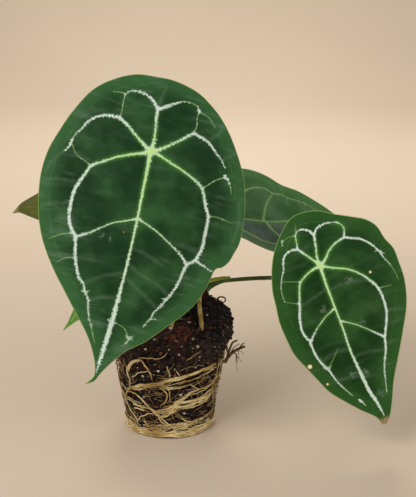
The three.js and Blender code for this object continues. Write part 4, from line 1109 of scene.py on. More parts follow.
def stalk_radii(line):
    at = measured(line)
    to_end = at[-1] - at
    flared = smoothstep(1 - at / STALK["flare"]) * (STALK["base"] - STALK["stalk"])
    swollen = smoothstep(1 - to_end / STALK["joint_length"]) * (STALK["joint"] - STALK["stalk"])
    rounded_end = np.sqrt(np.clip(to_end / STALK["round_end"], 0.05, 1))
    return (STALK["stalk"] + flared + swollen) * rounded_end


for number, (route, leaf) in enumerate(zip(PETIOLES, LEAVES), start=1):
    origin = np.zeros(1)
    down = STALK["under_star"] * sheet_normals(leaf, origin, origin)[0]
    line = smooth_line([*route, bent_sheet(leaf, origin, origin)[0] - down], 1.2, axes=3)
    stalk = [(line, stalk_radii(line), False)]
    piece = grow_limbs(f"stalk_{number}", stalk, PETIOLE_WITH_PAINTED_LIGHT, {"Sides": 16, "Knots": 0.0003})
    fit_piece(piece, "petiole", f"petiole_{number}")

# %% [markdown]
# ## Stem, bud, sheath and aerial roots
#
# The stem is a short knotty stump with rings where old leaves fell off. A pointed bud stands between the
# petioles. An olive sheath, the remains of a leaf's wrapper, lies over the right petiole's base. Thick tan
# roots come out of the stem and dive into the mix, and one thin dry root curls above it.

# %% Stem and bud
STUMP = {"foot": 6.3, "taper": 2.3, "ring": 0.35, "rings": 22, "shoulder": 1.6}
BUD = {"width": 1.5, "point": 0.12, "curve": 1.6}
stem_line = smooth_line([(22, 9, 70), (23.5, 8, 90), (21.5, 7.5, 105.5)], 0.6, axes=3)
stem_share = measured(stem_line) / measured(stem_line)[-1]
leaf_rings = STUMP["ring"] * np.abs(np.sin(stem_share * STUMP["rings"]))
round_top = STUMP["shoulder"] * smoothstep(stem_share * 12 - 11)
stem_radii = STUMP["foot"] - STUMP["taper"] * stem_share + leaf_rings - round_top
stem = grow_limbs("knotty_stem", [(stem_line, stem_radii, False)], STEM,
                  {"Sides": 28, "Knots": 0.0018, "Knot size": 350.0})
fit_piece(stem, "stem", "stem")

bud_line = smooth_line([(21.8, 8.4, 102), (21.3, 8.6, 108), (20.3, 9.4, 117)], 0.7, axes=3)
bud_share = np.linspace(0, 1, len(bud_line))
bud_radii = BUD["width"] * (1 - bud_share ** BUD["curve"]) + BUD["point"]
bud = grow_limbs("crown_bud", [(bud_line, bud_radii, False)], PETIOLE_WITH_PAINTED_LIGHT, {"Sides": 12})
fit_piece(bud, "sheath", "bud")

# %% Aerial roots and the curled root
AERIAL_ROOTS = [
    (1.7, [(22, 5, 95), (21.7, -4, 97), (21.5, -12, 92.5), (22.6, -18, 84.5), (23.6, -20, 75)]),
    (1.6, [(21, 5, 91), (14, -4, 93), (7.5, -11, 88.5), (3, -15, 82), (1.2, -16.5, 74)]),
    (1.7, [(22, 12, 95), (17, 21, 96), (12, 29, 87), (10, 33, 74)]),
]
ROOT_SKIN = {"Sides": 16, "Wander": 0.0006, "Knots": 0.0005, "Knot size": 500.0}
for number, (radius, route) in enumerate(AERIAL_ROOTS, start=1):
    line = smooth_line(route, 0.8, axes=3)
    radii = radius * np.linspace(1, 0.85, len(line))
    piece = grow_limbs(f"thick_root_{number}", [(line, radii, False)], TAN_ROOT, ROOT_SKIN)
    fit_piece(piece, "aerial_root", f"aerial_root_{number}")

CURL = [(33, 5, 83), (33.4, 5, 90.4), (35.4, 5, 92.6), (38, 5, 93), (40, 5, 91.4), (39.4, 5, 89)]
curl_line = smooth_line(CURL, 0.4, axes=3)
curl_radii = np.linspace(0.8, 0.5, len(curl_line))
curled = grow_limbs("dry_curl", [(curl_line, curl_radii, False)], DARK_ROOT,
                    {"Sides": 8, "Knots": 0.0006, "Knot size": 700.0})
fit_piece(curled, "fine_root", "curled_root")

# %% [markdown]
# ## Sheath
#
# The sheath is a thin half tube that lies on the petiole and ends in a point. It is made as two grids of
# points, one for each face, and closed round its edges. Fine ridges run along it, as in dry leaf tissue.


# %% A half tube
def smooth_frame(line):
    """The directions up and aside from a line that runs roughly level."""
    tangent = np.gradient(line, axis=0)
    tangent /= np.linalg.norm(tangent, axis=1)[:, None]
    up = np.array([0, 0, 1.0]) - tangent * tangent[:, 2:3]
    up /= np.linalg.norm(up, axis=1)[:, None]
    return up, np.cross(tangent, up)


def half_tube(line, radii, half_arcs, wall, columns):
    """Points and faces of a tube that is open below, with an outer and an inner face."""
    up, aside = smooth_frame(line)
    layers = []
    for extra in (wall["thickness"], 0.0):
        for j in range(columns + 1):
            angle = np.radians(half_arcs) * (2 * j / columns - 1)
            ridge = wall["ridge"] * math.sin(j * wall["ridge_turn"]) if extra else 0.0
            reach = (radii + extra + ridge)[:, None]
            layers.append(line + reach * (np.cos(angle)[:, None] * up + np.sin(angle)[:, None] * aside))
    rows = len(line)

    def at(layer, i, j):
        return (layer * (columns + 1) + j) * rows + i

    faces = []
    for i in range(rows - 1):
        for j in range(columns):
            faces.append((at(0, i, j), at(0, i + 1, j), at(0, i + 1, j + 1), at(0, i, j + 1)))
            faces.append((at(1, i, j + 1), at(1, i + 1, j + 1), at(1, i + 1, j), at(1, i, j)))
        faces.append((at(0, i, 0), at(1, i, 0), at(1, i + 1, 0), at(0, i + 1, 0)))
        faces.append((at(0, i, columns), at(0, i + 1, columns), at(1, i + 1, columns), at(1, i, columns)))
    last = rows - 1
    for j in range(columns):
        faces.append((at(0, 0, j), at(0, 0, j + 1), at(1, 0, j + 1), at(1, 0, j)))
        faces.append((at(0, last, j), at(1, last, j), at(1, last, j + 1), at(0, last, j + 1)))
    return np.vstack(layers), faces


print("half tube ready")

# %% Sheath
SHEATH = {"base": 3.2, "taper": 1.5, "half_arc": 58, "point": 34, "point_share": 0.15, "columns": 20}
SHEATH_WALL = {"thickness": 0.55, "ridge": 0.06, "ridge_turn": 2.1}
sheath_line = smooth_line([(27.5, 7.8, 101.2), (33, 8.4, 103), (38, 10, 103.7), (43.6, 11, 104)], 0.7, axes=3)
sheath_share = np.linspace(0, 1, len(sheath_line))
sheath_radii = SHEATH["base"] - SHEATH["taper"] * sheath_share
pointed = smoothstep((sheath_share - (1 - SHEATH["point_share"])) / SHEATH["point_share"])
sheath_arcs = SHEATH["half_arc"] - SHEATH["point"] * pointed
sheath_shape = half_tube(sheath_line, sheath_radii, sheath_arcs, SHEATH_WALL, SHEATH["columns"])
sheath = mesh_object("dry_sheath", *sheath_shape)
SHEATH_SKIN = limb_finish("dry sheath", colour(174, 180, 76), colour(214, 220, 124), 90, 260, 1400, 0.55,
                          0.0002, stretch=(0.25, 1.0, 1.0))
sheath.data.materials.append(SHEATH_SKIN)
sheath.data.shade_smooth()
fit_piece(sheath, "sheath", "sheath")

# %% [markdown]
# ## Potting mix: the crumbly body
#
# The mix is bark, coir and peat, pressed smooth by the pot's wall at the sides and loose on top, with a
# mound round the stem. The surface is a wall of rings and a top of rings, pushed in and out by layers of
# noise: broad hollows, chips of a few millimetres and fine crumbs. Displacing real points gives the broken
# outline that a bump alone can't.

# %% The mix surface
BALL = {"bottom": 29.5, "top": 42.5, "height": 75.0, "shoulder": 70.0, "crumble": 1.8, "hummocks": 2.4,
        "rim": 3.5}
MOUND = {"x": 24, "y": 8, "height": 18, "spread": 17}
BULGE = {"out": 5, "start": 52, "end": 74}
LOOSENING = {"start": 48, "height": 22}
SURFACE = {"columns": 320, "rows": 110, "rings": 70, "sink": 0.3, "upright_share": 0.12}


def cone_radius(z):
    return BALL["bottom"] + (BALL["top"] - BALL["bottom"]) * z / BALL["height"]


def round_axis(reach, angle, z):
    """Points at these distances from the ball's axis, turns and heights."""
    return np.column_stack([reach * np.cos(angle), reach * np.sin(angle), z])


def crumble(angle, z):
    wave = np.sin(5 * angle + 0.31 * z) * np.cos(0.43 * z - 3 * angle)
    return 0.5 + 0.3 * wave + 0.2 * np.sin(11 * angle - 0.77 * z + 1.3)


def wall_reach(angle, z):
    """How far the ball's wall stands from the axis: cone, bulge to the right and crumbling."""
    bulge = BULGE["out"] * smoothstep((z - BULGE["start"]) / (BULGE["end"] - BULGE["start"]))
    return cone_radius(z) + bulge * np.maximum(0, np.cos(angle)) - BALL["crumble"] * crumble(angle, z)


def mound_height(x, y):
    far = (x - MOUND["x"]) ** 2 + (y - MOUND["y"]) ** 2
    return BALL["height"] + MOUND["height"] * np.exp(-far / (2 * MOUND["spread"] ** 2))


def crumbs(points, loose):
    """How far each point of the mix stands out, in millimetres."""
    out = np.zeros(len(points))
    for i, point in enumerate(points):
        place = Vector(point)
        chips = noise.noise(place * 0.32) + 0.6 * noise.noise(place * 0.75)
        cells = noise.voronoi(place * 0.3)[0]
        crack = min(0.5, cells[1] - cells[0])
        fine = noise.noise(place * 1.7)
        out[i] = (0.45 + 0.9 * loose[i]) * chips + 1.5 * (crack - 0.3) + (0.25 + 0.3 * loose[i]) * fine
    return out


def wall_rings(angle):
    """Rings of points up the wall, and how loose the mix is at each."""
    rings, loose = [], []
    for i in range(SURFACE["rows"] + 1):
        z = BALL["shoulder"] * i / SURFACE["rows"]
        reach = wall_reach(angle, z)
        rings.append(round_axis(reach, angle, np.full(len(angle), z)))
        share = smoothstep((z - LOOSENING["start"]) / LOOSENING["height"])
        loose.append(np.full(len(angle), float(share)))
    return rings, loose


def top_rings(angle):
    """Rings of points from the shoulder in to the middle of the top."""
    rings, loose = [], []
    for i in range(SURFACE["rings"]):
        share = math.cos(math.pi / 2 * ((i + 0.35) / SURFACE["rings"]))
        lean = BULGE["out"] * np.maximum(0, np.cos(angle))
        reach = share * (cone_radius(BALL["shoulder"]) + lean - BALL["crumble"])
        x, y = reach * np.cos(angle), reach * np.sin(angle)
        waves = BALL["hummocks"] * (crumble(angle, 9.4 * i * 6 / SURFACE["rings"]) - 0.5) * share
        z = mound_height(x, y) + waves - BALL["rim"] * share**6
        rings.append(np.column_stack([x, y, z]))
        loose.append(np.ones(len(angle)))
    return rings, loose


def ring_faces(columns, total):
    """Faces between the rings, with a lid on the last and a floor under the first."""
    faces = []
    for i in range(total - 1):
        for j in range(columns):
            k = (j + 1) % columns
            faces.append((i * columns + j, i * columns + k, (i + 1) * columns + k, (i + 1) * columns + j))
    faces.append(tuple((total - 1) * columns + j for j in range(columns)))
    faces.append(tuple(reversed(range(columns))))
    return faces


def mix_body():
    """The mix's points, pushed in and out by the crumbs, with its faces and looseness."""
    columns = SURFACE["columns"]
    angle = np.linspace(-math.pi, math.pi, columns, endpoint=False)
    wall, wall_loose = wall_rings(angle)
    top, top_loose = top_rings(angle)
    points, loose = np.vstack(wall + top), np.concatenate(wall_loose + top_loose)
    outward = points * [1, 1, 0]
    outward /= np.linalg.norm(outward, axis=1)[:, None]
    past_wall = np.arange(len(points)) - SURFACE["rows"] * columns
    turning = SURFACE["upright_share"] * SURFACE["rings"] * columns
    upright = np.clip(past_wall / turning, 0, 1)[:, None]
    outward = outward * (1 - upright) + np.array([0, 0, 1.0]) * upright
    stand = crumbs(points, loose) * np.clip(points[:, 2] / 3, 0, 1)
    moved = outward * (stand - SURFACE["sink"])[:, None] * np.clip(points[:, 2:] / 2, 0, 1)
    return points + moved, ring_faces(columns, len(wall) + len(top)), loose


mix_points, mix_faces, mix_loose = mix_body()
mix = mesh_object("root_ball_mix", mix_points, mix_faces)
give_attribute(mix, "loose", mix_loose)
mix.data.shade_smooth()
print("mix surface:", len(mix.data.vertices), "points")

# %% [markdown]
# ## Potting mix: its finish
#
# Wet bark and peat are nearly black with reddish-brown chips and a few damp glints. The colour mixes a
# cellular noise, one shade per chip, with a fine noise that darkens the hollows of the grain as a painted
# shade, and the damp places have a lower roughness. In a few places a clump of fresh bark reddens the mix.
# That clump is a small group of its own, because the crumbs that lie there have to redden with it.

# %% Clumps of reddish bark
tree, given, end = start_group(
    "bark patch",
    "ShaderNodeTree",
    [("Place", VECTOR, None), ("Middle", VECTOR, None), ("Reach", FLOAT, 0.01)],
    ("Mask", FLOAT),
)
far = tree.add("ShaderNodeVectorMath", {0: given["Place"], 1: given["Middle"]}, operation="DISTANCE")
inner_part = tree.math("MULTIPLY", given["Reach"], 0.3)
near = tree.fit(far.outputs["Value"], given["Reach"], inner_part)
broken = tree.fit(tree.noise(given["Place"], 260.0), 0.4, 0.6, 0.15, 1.0)
tree.tree.links.new(tree.math("MULTIPLY", near, broken), end)
BARK_PATCH = tree.tree
PATCHES = [((0.006, -0.026, 0.075), 0.017), ((-0.036, -0.012, 0.058), 0.014), ((0.012, 0.03, 0.07), 0.02)]
PATCH = {"colour": colour(146, 72, 46), "strength": 0.75}


def with_patches(tree, place, base):
    """The colour with reddish bark in the listed patches."""
    for middle, reach in PATCHES:
        mask = tree.group(BARK_PATCH, {"Place": place, "Middle": middle, "Reach": reach})
        base = tree.mix(tree.math("MULTIPLY", mask, PATCH["strength"]), base, PATCH["colour"])
    return base


print("bark patches:", len(PATCHES))


# %% Mix material
def mix_finish(name, wet_mix_and_hollow_shade, brown, chip, chip_scale):
    material, tree, shader = new_material(name)
    place = tree.add("ShaderNodeTexCoord").outputs["Object"]
    cells = tree.add("ShaderNodeTexVoronoi", {"Vector": place, "Scale": chip_scale})
    tone = tree.add("ShaderNodeSeparateColor", {"Color": cells.outputs["Color"]}).outputs[0]
    base = tree.mix(tree.fit(tone, 0.25, 0.8), wet_mix_and_hollow_shade, brown)
    base = tree.mix(tree.fit(tone, 0.82, 0.95, 0.0, 0.8), base, chip)
    fine = tree.group(GRAIN, {"Place": place, "Coarse": 450.0, "Fine": 1800.0, "Fine share": 0.6})
    base = with_patches(tree, place, base)
    # Darker in the hollows of the fine grain: a painted shade.
    base = tree.mix(tree.fit(fine, 0.95, 0.6, 0.0, 0.75), base, wet_mix_and_hollow_shade)
    damp = tree.fit(tree.noise(place, 160.0), 0.5, 0.72, 0.9, 0.3)
    finish_material(tree, shader, base, damp, fine, 0.0008)
    shader.inputs["Specular IOR Level"].default_value = 0.35
    return material


MIX = mix_finish("damp bark mix", colour(12, 5, 4), colour(34, 15, 10), colour(70, 30, 18), 260.0)
mix.data.materials.append(MIX)
fit_piece(mix, "potting_mix", "potting_mix")

# %% [markdown]
# ## Crumbs, bark chips and perlite
#
# Thousands of small grains lie on and in the mix. This is what Geometry Nodes are for: points are strewn on
# the surface with a fixed seed, each gets a small rough grain, and the grains get a size, a turn and a tone
# of their own. The same tree makes dark crumbs, flat reddish bark chips and white perlite.

# %% The scatter tree
tree, given, end = start_group(
    "Strewn grains",
    "GeometryNodeTree",
    [("Geometry", GEOMETRY, None), ("Density", FLOAT, 1.0), ("Seed", INT, 1), ("Least", FLOAT, 0.0005),
     ("Greatest", FLOAT, 0.0015), ("Flatness", FLOAT, 0.7), ("Length", FLOAT, 1.0),
     ("Rough", FLOAT, 0.0005), ("Material", MATERIAL, None)],
    ("Geometry", GEOMETRY),
)
strew = tree.add("GeometryNodeInputNamedAttribute", {"Name": "strew"}, data_type="FLOAT").outputs[0]
crowd = tree.math("MULTIPLY", given["Density"], strew)
strewn = tree.add("GeometryNodeDistributePointsOnFaces", {"Mesh": given["Geometry"], "Density": crowd,
                                                         "Seed": given["Seed"]})
grain = tree.add("GeometryNodeMeshIcoSphere", {"Radius": 1.0, "Subdivisions": 1}).outputs[0]
draw = tree.add("FunctionNodeRandomValue", {"Seed": given["Seed"]}, data_type="FLOAT").outputs["Value"]
spread = tree.math("SUBTRACT", given["Greatest"], given["Least"])
mostly_small = tree.math("POWER", draw, 2.5)
size = tree.math("MULTIPLY_ADD", mostly_small, spread, given["Least"])
shape = tree.add("ShaderNodeCombineXYZ", {0: tree.math("MULTIPLY", size, given["Length"]), 1: size,
                                          2: tree.math("MULTIPLY", size, given["Flatness"])}).outputs[0]
least_turn, greatest_turn = (-0.5, -0.5, -3.1), (0.5, 0.5, 3.1)
turns = tree.add("FunctionNodeRandomValue", {0: least_turn, 1: greatest_turn, "Seed": given["Seed"]},
                 data_type="FLOAT_VECTOR").outputs[0]
spin = tree.add("FunctionNodeEulerToRotation", {0: turns}).outputs[0]
turned = tree.add("FunctionNodeRotateRotation", {"Rotation": strewn.outputs["Rotation"], "Rotate By": spin},
                  rotation_space="LOCAL").outputs[0]
grains = tree.add("GeometryNodeInstanceOnPoints", {"Points": strewn.outputs["Points"], "Instance": grain,
                                                   "Rotation": turned, "Scale": shape}).outputs[0]
tone = tree.add("FunctionNodeRandomValue", {"Seed": 7}, data_type="FLOAT").outputs["Value"]
toned = tree.add("GeometryNodeStoreNamedAttribute", {"Geometry": grains, "Name": "tone", "Value": tone},
                 data_type="FLOAT", domain="INSTANCE").outputs[0]
solid = tree.add("GeometryNodeRealizeInstances", {"Geometry": toned}).outputs[0]
dents = wobble(tree, 1300.0, given["Rough"])
rough = tree.add("GeometryNodeSetPosition", {"Geometry": solid, "Offset": dents}).outputs[0]
dressed = tree.add("GeometryNodeSetMaterial", {"Geometry": rough, "Material": given["Material"]}).outputs[0]
tree.tree.links.new(dressed, end)
SCATTER_TREE = tree.tree
print("scatter tree nodes:", len(SCATTER_TREE.nodes))


# %% Grain materials
def grain_finish(name, dark, light, roughness, bark=True):
    """A material whose colour comes from each grain's own tone, and is darker in the hollows of its bump as a
    painted shade.
    """
    material, tree, shader = new_material(name)
    place = tree.add("ShaderNodeTexCoord").outputs["Object"]
    base = tree.mix(tree.attribute("tone"), dark, light)
    if bark:
        base = with_patches(tree, place, base)
    height = tree.group(GRAIN, {"Place": place, "Coarse": 900.0, "Fine": 3000.0, "Fine share": 0.5})
    # Darker in the hollows of the bump: a painted shade.
    base = tree.mix(tree.fit(height, 0.9, 0.5, 0.0, 0.5), base, dark)
    finish_material(tree, shader, base, roughness, height, 0.0003)
    return material


CRUMB = grain_finish("dark crumb", colour(9, 4, 4), colour(46, 24, 18), 0.7)
BARK = grain_finish("bark chip", colour(40, 18, 11), colour(126, 74, 42), 0.65)
PERLITE = grain_finish("perlite", colour(170, 152, 108), colour(250, 244, 230), 0.85, bark=False)

# %% Strewing the grains
OFF_FLOOR = {"from": 1.5, "over": 4}
PRESSED_SHARE = 0.15
off_floor = np.clip((mix_points[:, 2] - OFF_FLOOR["from"]) / OFF_FLOOR["over"], 0, 1)
loose_share = PRESSED_SHARE + (1 - PRESSED_SHARE) * mix_loose
mix_share = {"crumbs": loose_share * off_floor, "even": off_floor}
GRAIN_KINDS = [
    ("crumbs", CRUMB, "crumbs", {"Density": 190000.0, "Seed": 3, "Least": 0.00025, "Greatest": 0.0017,
                                 "Flatness": 0.6, "Length": 1.35, "Rough": 0.0018}),
    ("bark_chips", BARK, "crumbs", {"Density": 60000.0, "Seed": 11, "Least": 0.0002, "Greatest": 0.0013,
                                    "Flatness": 0.4, "Length": 2.0, "Rough": 0.0014}),
    ("perlite_grains", PERLITE, "even", {"Density": 22000.0, "Seed": 23, "Least": 0.0001, "Greatest": 0.0007,
                                         "Flatness": 0.7, "Length": 1.3, "Rough": 0.0008}),
]
for name, material, share, inputs in GRAIN_KINDS:
    if "strew" in mix.data.attributes:
        mix.data.attributes.remove(mix.data.attributes["strew"])
    give_attribute(mix, "strew", mix_share[share])
    piece = grown(mix, SCATTER_TREE, name, {"Material": material, **inputs})
    fit_piece(piece, "potting_mix")

# %% [markdown]
# ## Single lumps of perlite
#
# Strewn points can't put a grain where the real one is, and a few lumps of perlite are big enough to be known
# one by one. They are listed: on the wall by a turn in degrees, with -90 in front, and a height, and on the
# top by two offsets. Each is a small round mesh, dented by noise, half sunk in the mix.

# %% Places of the lumps
WALL_LUMPS = [
    (-128, 69, 0.85, 0.9), (-61, 72, 1.0, 0.3), (-100, 54, 0.9, 1.0), (-118, 48, 1.0, 0.9),
    (-76, 35, 1.1, 1.0), (-70, 19, 0.9, 0.9), (-112, 70, 0.9, 0.6), (-120, 68, 0.5, 0.8),
    (-79, 67, 0.7, 0.6), (-58, 68, 0.5, 0.2), (-60, 55, 0.7, 0.9), (-104, 36, 0.7, 1.0),
    (-74, 29, 0.7, 0.9), (-124, 54, 0.5, 0.6), (-31, 56, 0.5, 0.8), (-111, 49, 0.55, 0.8),
    (-83, 26, 0.6, 0.8), (-55, 43, 0.5, 0.3), (35, 50, 0.8, 0.9), (80, 40, 0.7, 0.8), (118, 62, 0.9, 1.0),
    (160, 44, 0.8, 0.7), (-165, 58, 0.7, 0.9),
]
TOP_LUMPS = [
    (1.5, -17, 1.2, 1.0), (14.5, -15, 1.1, 0.25), (8.5, -10.5, 0.7, 0.8), (17.5, -31, 1.0, 0.6),
    (27, -10, 0.65, 0.8), (6, -34, 0.8, 0.8), (-9.5, -31, 0.6, 0.9), (23.5, -19, 0.5, 0.9),
    (-20, 8, 0.9, 1.0), (6, 27, 1.0, 0.7),
]
LUMP = {"sink": 0.5, "stretch": (1.15, 0.8, 0.9), "dent": 0.5, "dent_size": 1.1, "shift": 7}


def lump_places():
    """The middle, radius and tone of each lump."""
    rows = []
    for turn, height, radius, tone in WALL_LUMPS:
        angle = math.radians(turn)
        reach = wall_reach(angle, height) - LUMP["sink"]
        rows.append((Vector((reach * math.cos(angle), reach * math.sin(angle), height)), radius, tone))
    for x, y, radius, tone in TOP_LUMPS:
        share = math.hypot(x, y) / cone_radius(BALL["shoulder"])
        rows.append((Vector((x, y, mound_height(x, y) - BALL["rim"] * share**6)), radius, tone))
    return rows


print("perlite lumps:", len(lump_places()))

# %% Making the lumps
shaper = bmesh.new()
lump_tones = []
for number, (middle, radius, lump_tone) in enumerate(lump_places()):
    ball = bmesh.ops.create_icosphere(shaper, subdivisions=2, radius=1.0)["verts"]
    for vertex in ball:
        place = vertex.co * LUMP["dent_size"] + Vector((LUMP["shift"] * number, 0, 0))
        dent = 1 + LUMP["dent"] * noise.noise(place)
        vertex.co = (middle + vertex.co * Vector(LUMP["stretch"]) * radius * dent) * MM
    lump_tones += [lump_tone] * len(ball)
lumps = mesh_object("perlite_lumps", np.zeros((0, 3)), [])
shaper.to_mesh(lumps.data)
shaper.free()
give_attribute(lumps, "tone", lump_tones)
lumps.data.materials.append(PERLITE)
lumps.data.shade_smooth()
fit_piece(lumps, "potting_mix")

# %% [markdown]
# ## Circling roots
#
# A pot-bound plant shows its roots as bands that run round the ball where they met the wall, and as a pale
# mat round its foot. Each band is a bundle of strands that share a route and stray from it a little. The
# front strands follow the real ones, and the rest run on round the back in the same bands. Routes are lists
# of a turn angle in degrees, with -90 in front, and a height.

# %% Root strands on the cone
ROOT_CLEAR = 0.35
WALL_RADIUS = 36
STRAND = {"low": 1.2, "high": 72, "sink": 0.5, "thin": 0.7, "thick": 1.15}
TAPER = ([0, 0.15, 0.8, 1], [0.7, 1, 1, 0.45])
rng = np.random.default_rng(12)


def on_ball(route, radius, sink=0.0, step=1.6):
    """Points on the ball's wall along a route of angles and heights."""
    rows = np.array(route, float)
    arc = rows * [math.radians(1) * WALL_RADIUS, 1]
    line = smooth_line(arc, step)
    angle, z = line[:, 0] / WALL_RADIUS, line[:, 1]
    return round_axis(cone_radius(z) + ROOT_CLEAR + radius - sink, angle, z)


def bundle(route, count, spread, radius, keep):
    """Strands that share a route, each shifted, thinned and cut a little differently."""
    strands = []
    for _ in range(count):
        rows = np.array(route, float)
        drift = rng.normal(0, spread, len(rows))
        drift = np.convolve(np.pad(drift, 1, mode="edge"), [0.25, 0.5, 0.25], "valid")
        rows[:, 1] = np.clip(rows[:, 1] + drift, STRAND["low"], STRAND["high"])
        part = rng.uniform(*keep)
        first = rng.uniform(0, 1 - part)
        line = on_ball(rows, radius, sink=rng.uniform(0, STRAND["sink"]))
        a, b = int(first * len(line)), int((first + part) * len(line))
        line = line[a:max(b, a + 4)]
        size = radius * rng.uniform(STRAND["thin"], STRAND["thick"])
        strands.append((line, size * np.interp(np.linspace(0, 1, len(line)), *TAPER), False))
    return strands


FRONT_ROOTS = [
    (5, 1.1, 0.55, [(-142, 35), (-137, 36), (-119, 41), (-107, 43), (-88, 47), (-69, 50), (-48, 52),
                    (-29, 52)]),
    (4, 1.1, 0.42, [(-138, 35), (-122, 37), (-111, 41), (-99, 44), (-90, 42), (-72, 43), (-63, 44)]),
    (3, 1.1, 0.35, [(-100, 42), (-88, 43), (-72, 45), (-58, 46), (-40, 49), (-20, 50)]),
    (8, 2.0, 0.45, [(-111, 22), (-99, 23), (-87, 25), (-76, 28), (-65, 29), (-54, 29), (-42, 31), (-30, 33),
                    (-8, 34)]),
    (6, 1.8, 0.42, [(-105, 18), (-93, 19), (-85, 22), (-75, 24), (-62, 25), (-51, 26), (-37, 28), (-23, 32),
                    (-8, 36)]),
    (4, 1.6, 0.45, [(-96, 26), (-80, 29), (-66, 34), (-52, 36), (-38, 37), (-22, 40), (-8, 44)]),
    (5, 1.3, 0.5, [(-165, 6), (-144, 5), (-128, 4), (-98, 4), (-63, 4), (-41, 4), (-10, 4)]),
    (7, 1.9, 0.4, [(-125, 8), (-113, 9), (-85, 10), (-70, 10), (-51, 11), (-29, 11), (-10, 12)]),
    (2, 0.4, 0.6, [(-137, 57), (-137, 50), (-135, 44), (-137, 37), (-147, 29), (-154, 21)]),
    (3, 0.6, 0.6, [(-139, 33), (-129, 33), (-117, 27), (-107, 20), (-93, 11), (-85, 7)]),
    (2, 0.4, 0.6, [(-150, 27), (-149, 20), (-141, 17), (-136, 11), (-135, 5)]),
    (2, 0.4, 0.6, [(-136, 10), (-124, 16), (-114, 19), (-105, 19)]),
    (1, 0.2, 0.6, [(-99, 41), (-92, 38), (-91, 34), (-94, 29), (-99, 26)]),
    (1, 0.2, 0.5, [(-96, 42), (-89, 40), (-88, 35), (-89, 29)]),
    (1, 0.1, 0.6, [(-116, 63), (-112, 57), (-108, 52), (-105, 46)]),
    (1, 0.1, 0.55, [(-131, 46), (-120, 51), (-110, 54)]),
    (1, 0.1, 0.6, [(-91, 58), (-88, 53), (-88, 49)]),
    (1, 0.1, 0.5, [(-82, 55), (-78, 51)]),
    (3, 0.5, 0.5, [(-27, 56), (-27, 44), (-29, 39), (-32, 33), (-23, 22), (-11, 13)]),
    (2, 0.5, 0.45, [(-80, 18), (-74, 15), (-65, 13), (-53, 11)]),
    (2, 0.5, 0.5, [(-140, 23), (-131, 23), (-123, 24), (-114, 24), (-104, 22)]),
    (1, 0.3, 0.5, [(-137, 21), (-128, 21), (-121, 20)]),
    (1, 0.2, 0.4, [(-118, 64), (-104, 64), (-96, 65), (-90, 69)]),
    (1, 0.2, 0.35, [(-72, 62), (-62, 66), (-56, 70)]),
    (2, 0.5, 0.4, [(-66, 43), (-58, 38), (-50, 36)]),
    (2, 0.5, 0.45, [(-122, 12), (-114, 8), (-104, 5), (-94, 3)]),
    (2, 0.5, 0.45, [(-104, 20), (-97, 16), (-88, 10), (-80, 4)]),
]
BACK_BANDS = [
    (5, 1.9, 0.55, [(-29, 52), (-5, 50), (15, 47), (65, 42), (115, 38), (170, 35), (218, 35)]),
    (8, 2.4, 0.48, [(-8, 34), (30, 30), (75, 24), (120, 20), (165, 22), (210, 25), (249, 22)]),
    (7, 2.2, 0.45, [(-10, 12), (20, 8), (80, 9), (150, 8), (200, 9), (235, 8)]),
    (6, 1.6, 0.5, [(-10, 3), (30, 3), (80, 4), (140, 3), (195, 6)]),
    (3, 2.2, 0.5, [(20, 58), (50, 46), (70, 33), (95, 16), (110, 4)]),
    (3, 2.2, 0.5, [(150, 60), (160, 44), (180, 30), (185, 12)]),
    (3, 2.2, 0.45, [(60, 62), (90, 57), (130, 52), (165, 54)]),
]
print("front root bundles:", len(FRONT_ROOTS))

# %% The mat at the foot
FOOT = {"strands": 22, "low": 0.9, "high": 5.8, "top": 9, "thin": 0.35, "thick": 0.75, "clear": 0.7,
        "step": 15}
NOTCH = {"turn": -94, "width": 20, "lift": 1.6, "strands": 9}
FULL_TURN = math.tau * WALL_RADIUS


def foot_strand(number):
    """A closed strand round the foot. The lowest ones rise over the notch in the front."""
    turns = np.arange(0, 360, FOOT["step"])
    middle = np.interp(number, [0, FOOT["strands"] - 1], [FOOT["low"], FOOT["high"]])
    size = rng.uniform(FOOT["thin"], FOOT["thick"])
    from_notch = (turns - NOTCH["turn"] + 180) % 360 - 180
    lifted = NOTCH["lift"] * np.exp(-((from_notch / NOTCH["width"]) ** 2)) * (number < NOTCH["strands"])
    swings = rng.normal(0, 0.5 + 0.2 * middle, len(turns))
    heights = np.clip(middle + swings + lifted, size + 0.25, FOOT["top"])
    places = np.column_stack([np.radians(turns) * WALL_RADIUS, heights])
    line = smooth_line(np.vstack([places, [FULL_TURN, heights[0]]]), 1.6)[:-1]
    reach = cone_radius(line[:, 1]) + FOOT["clear"] + rng.uniform(-0.3, 1.0)
    points = round_axis(reach, line[:, 0] / WALL_RADIUS, line[:, 1])
    return points, np.full(len(line), size), True


strands = []
for count, spread, radius, route in FRONT_ROOTS + BACK_BANDS:
    strands += bundle(route, count, spread, radius, keep=(0.6, 1.0) if count > 1 else (1.0, 1.0))
strands += [foot_strand(number) for number in range(FOOT["strands"])]
roots = grow_limbs("circling_roots", strands, PALE_ROOT,
                   {"Sides": 6, "Wander": 0.0032, "Wander size": 150.0, "Knots": 0.0008, "Knot size": 500.0})
fit_piece(roots, "root", "root_net")

# %% [markdown]
# ## Two roots of their own
#
# At the right a tuft of dried, broken roots sticks out of the ball, and at the left a fat young root with a
# yellow tip has just come through. They are thicker, knottier and of another colour than the net, so they
# are pieces of their own.

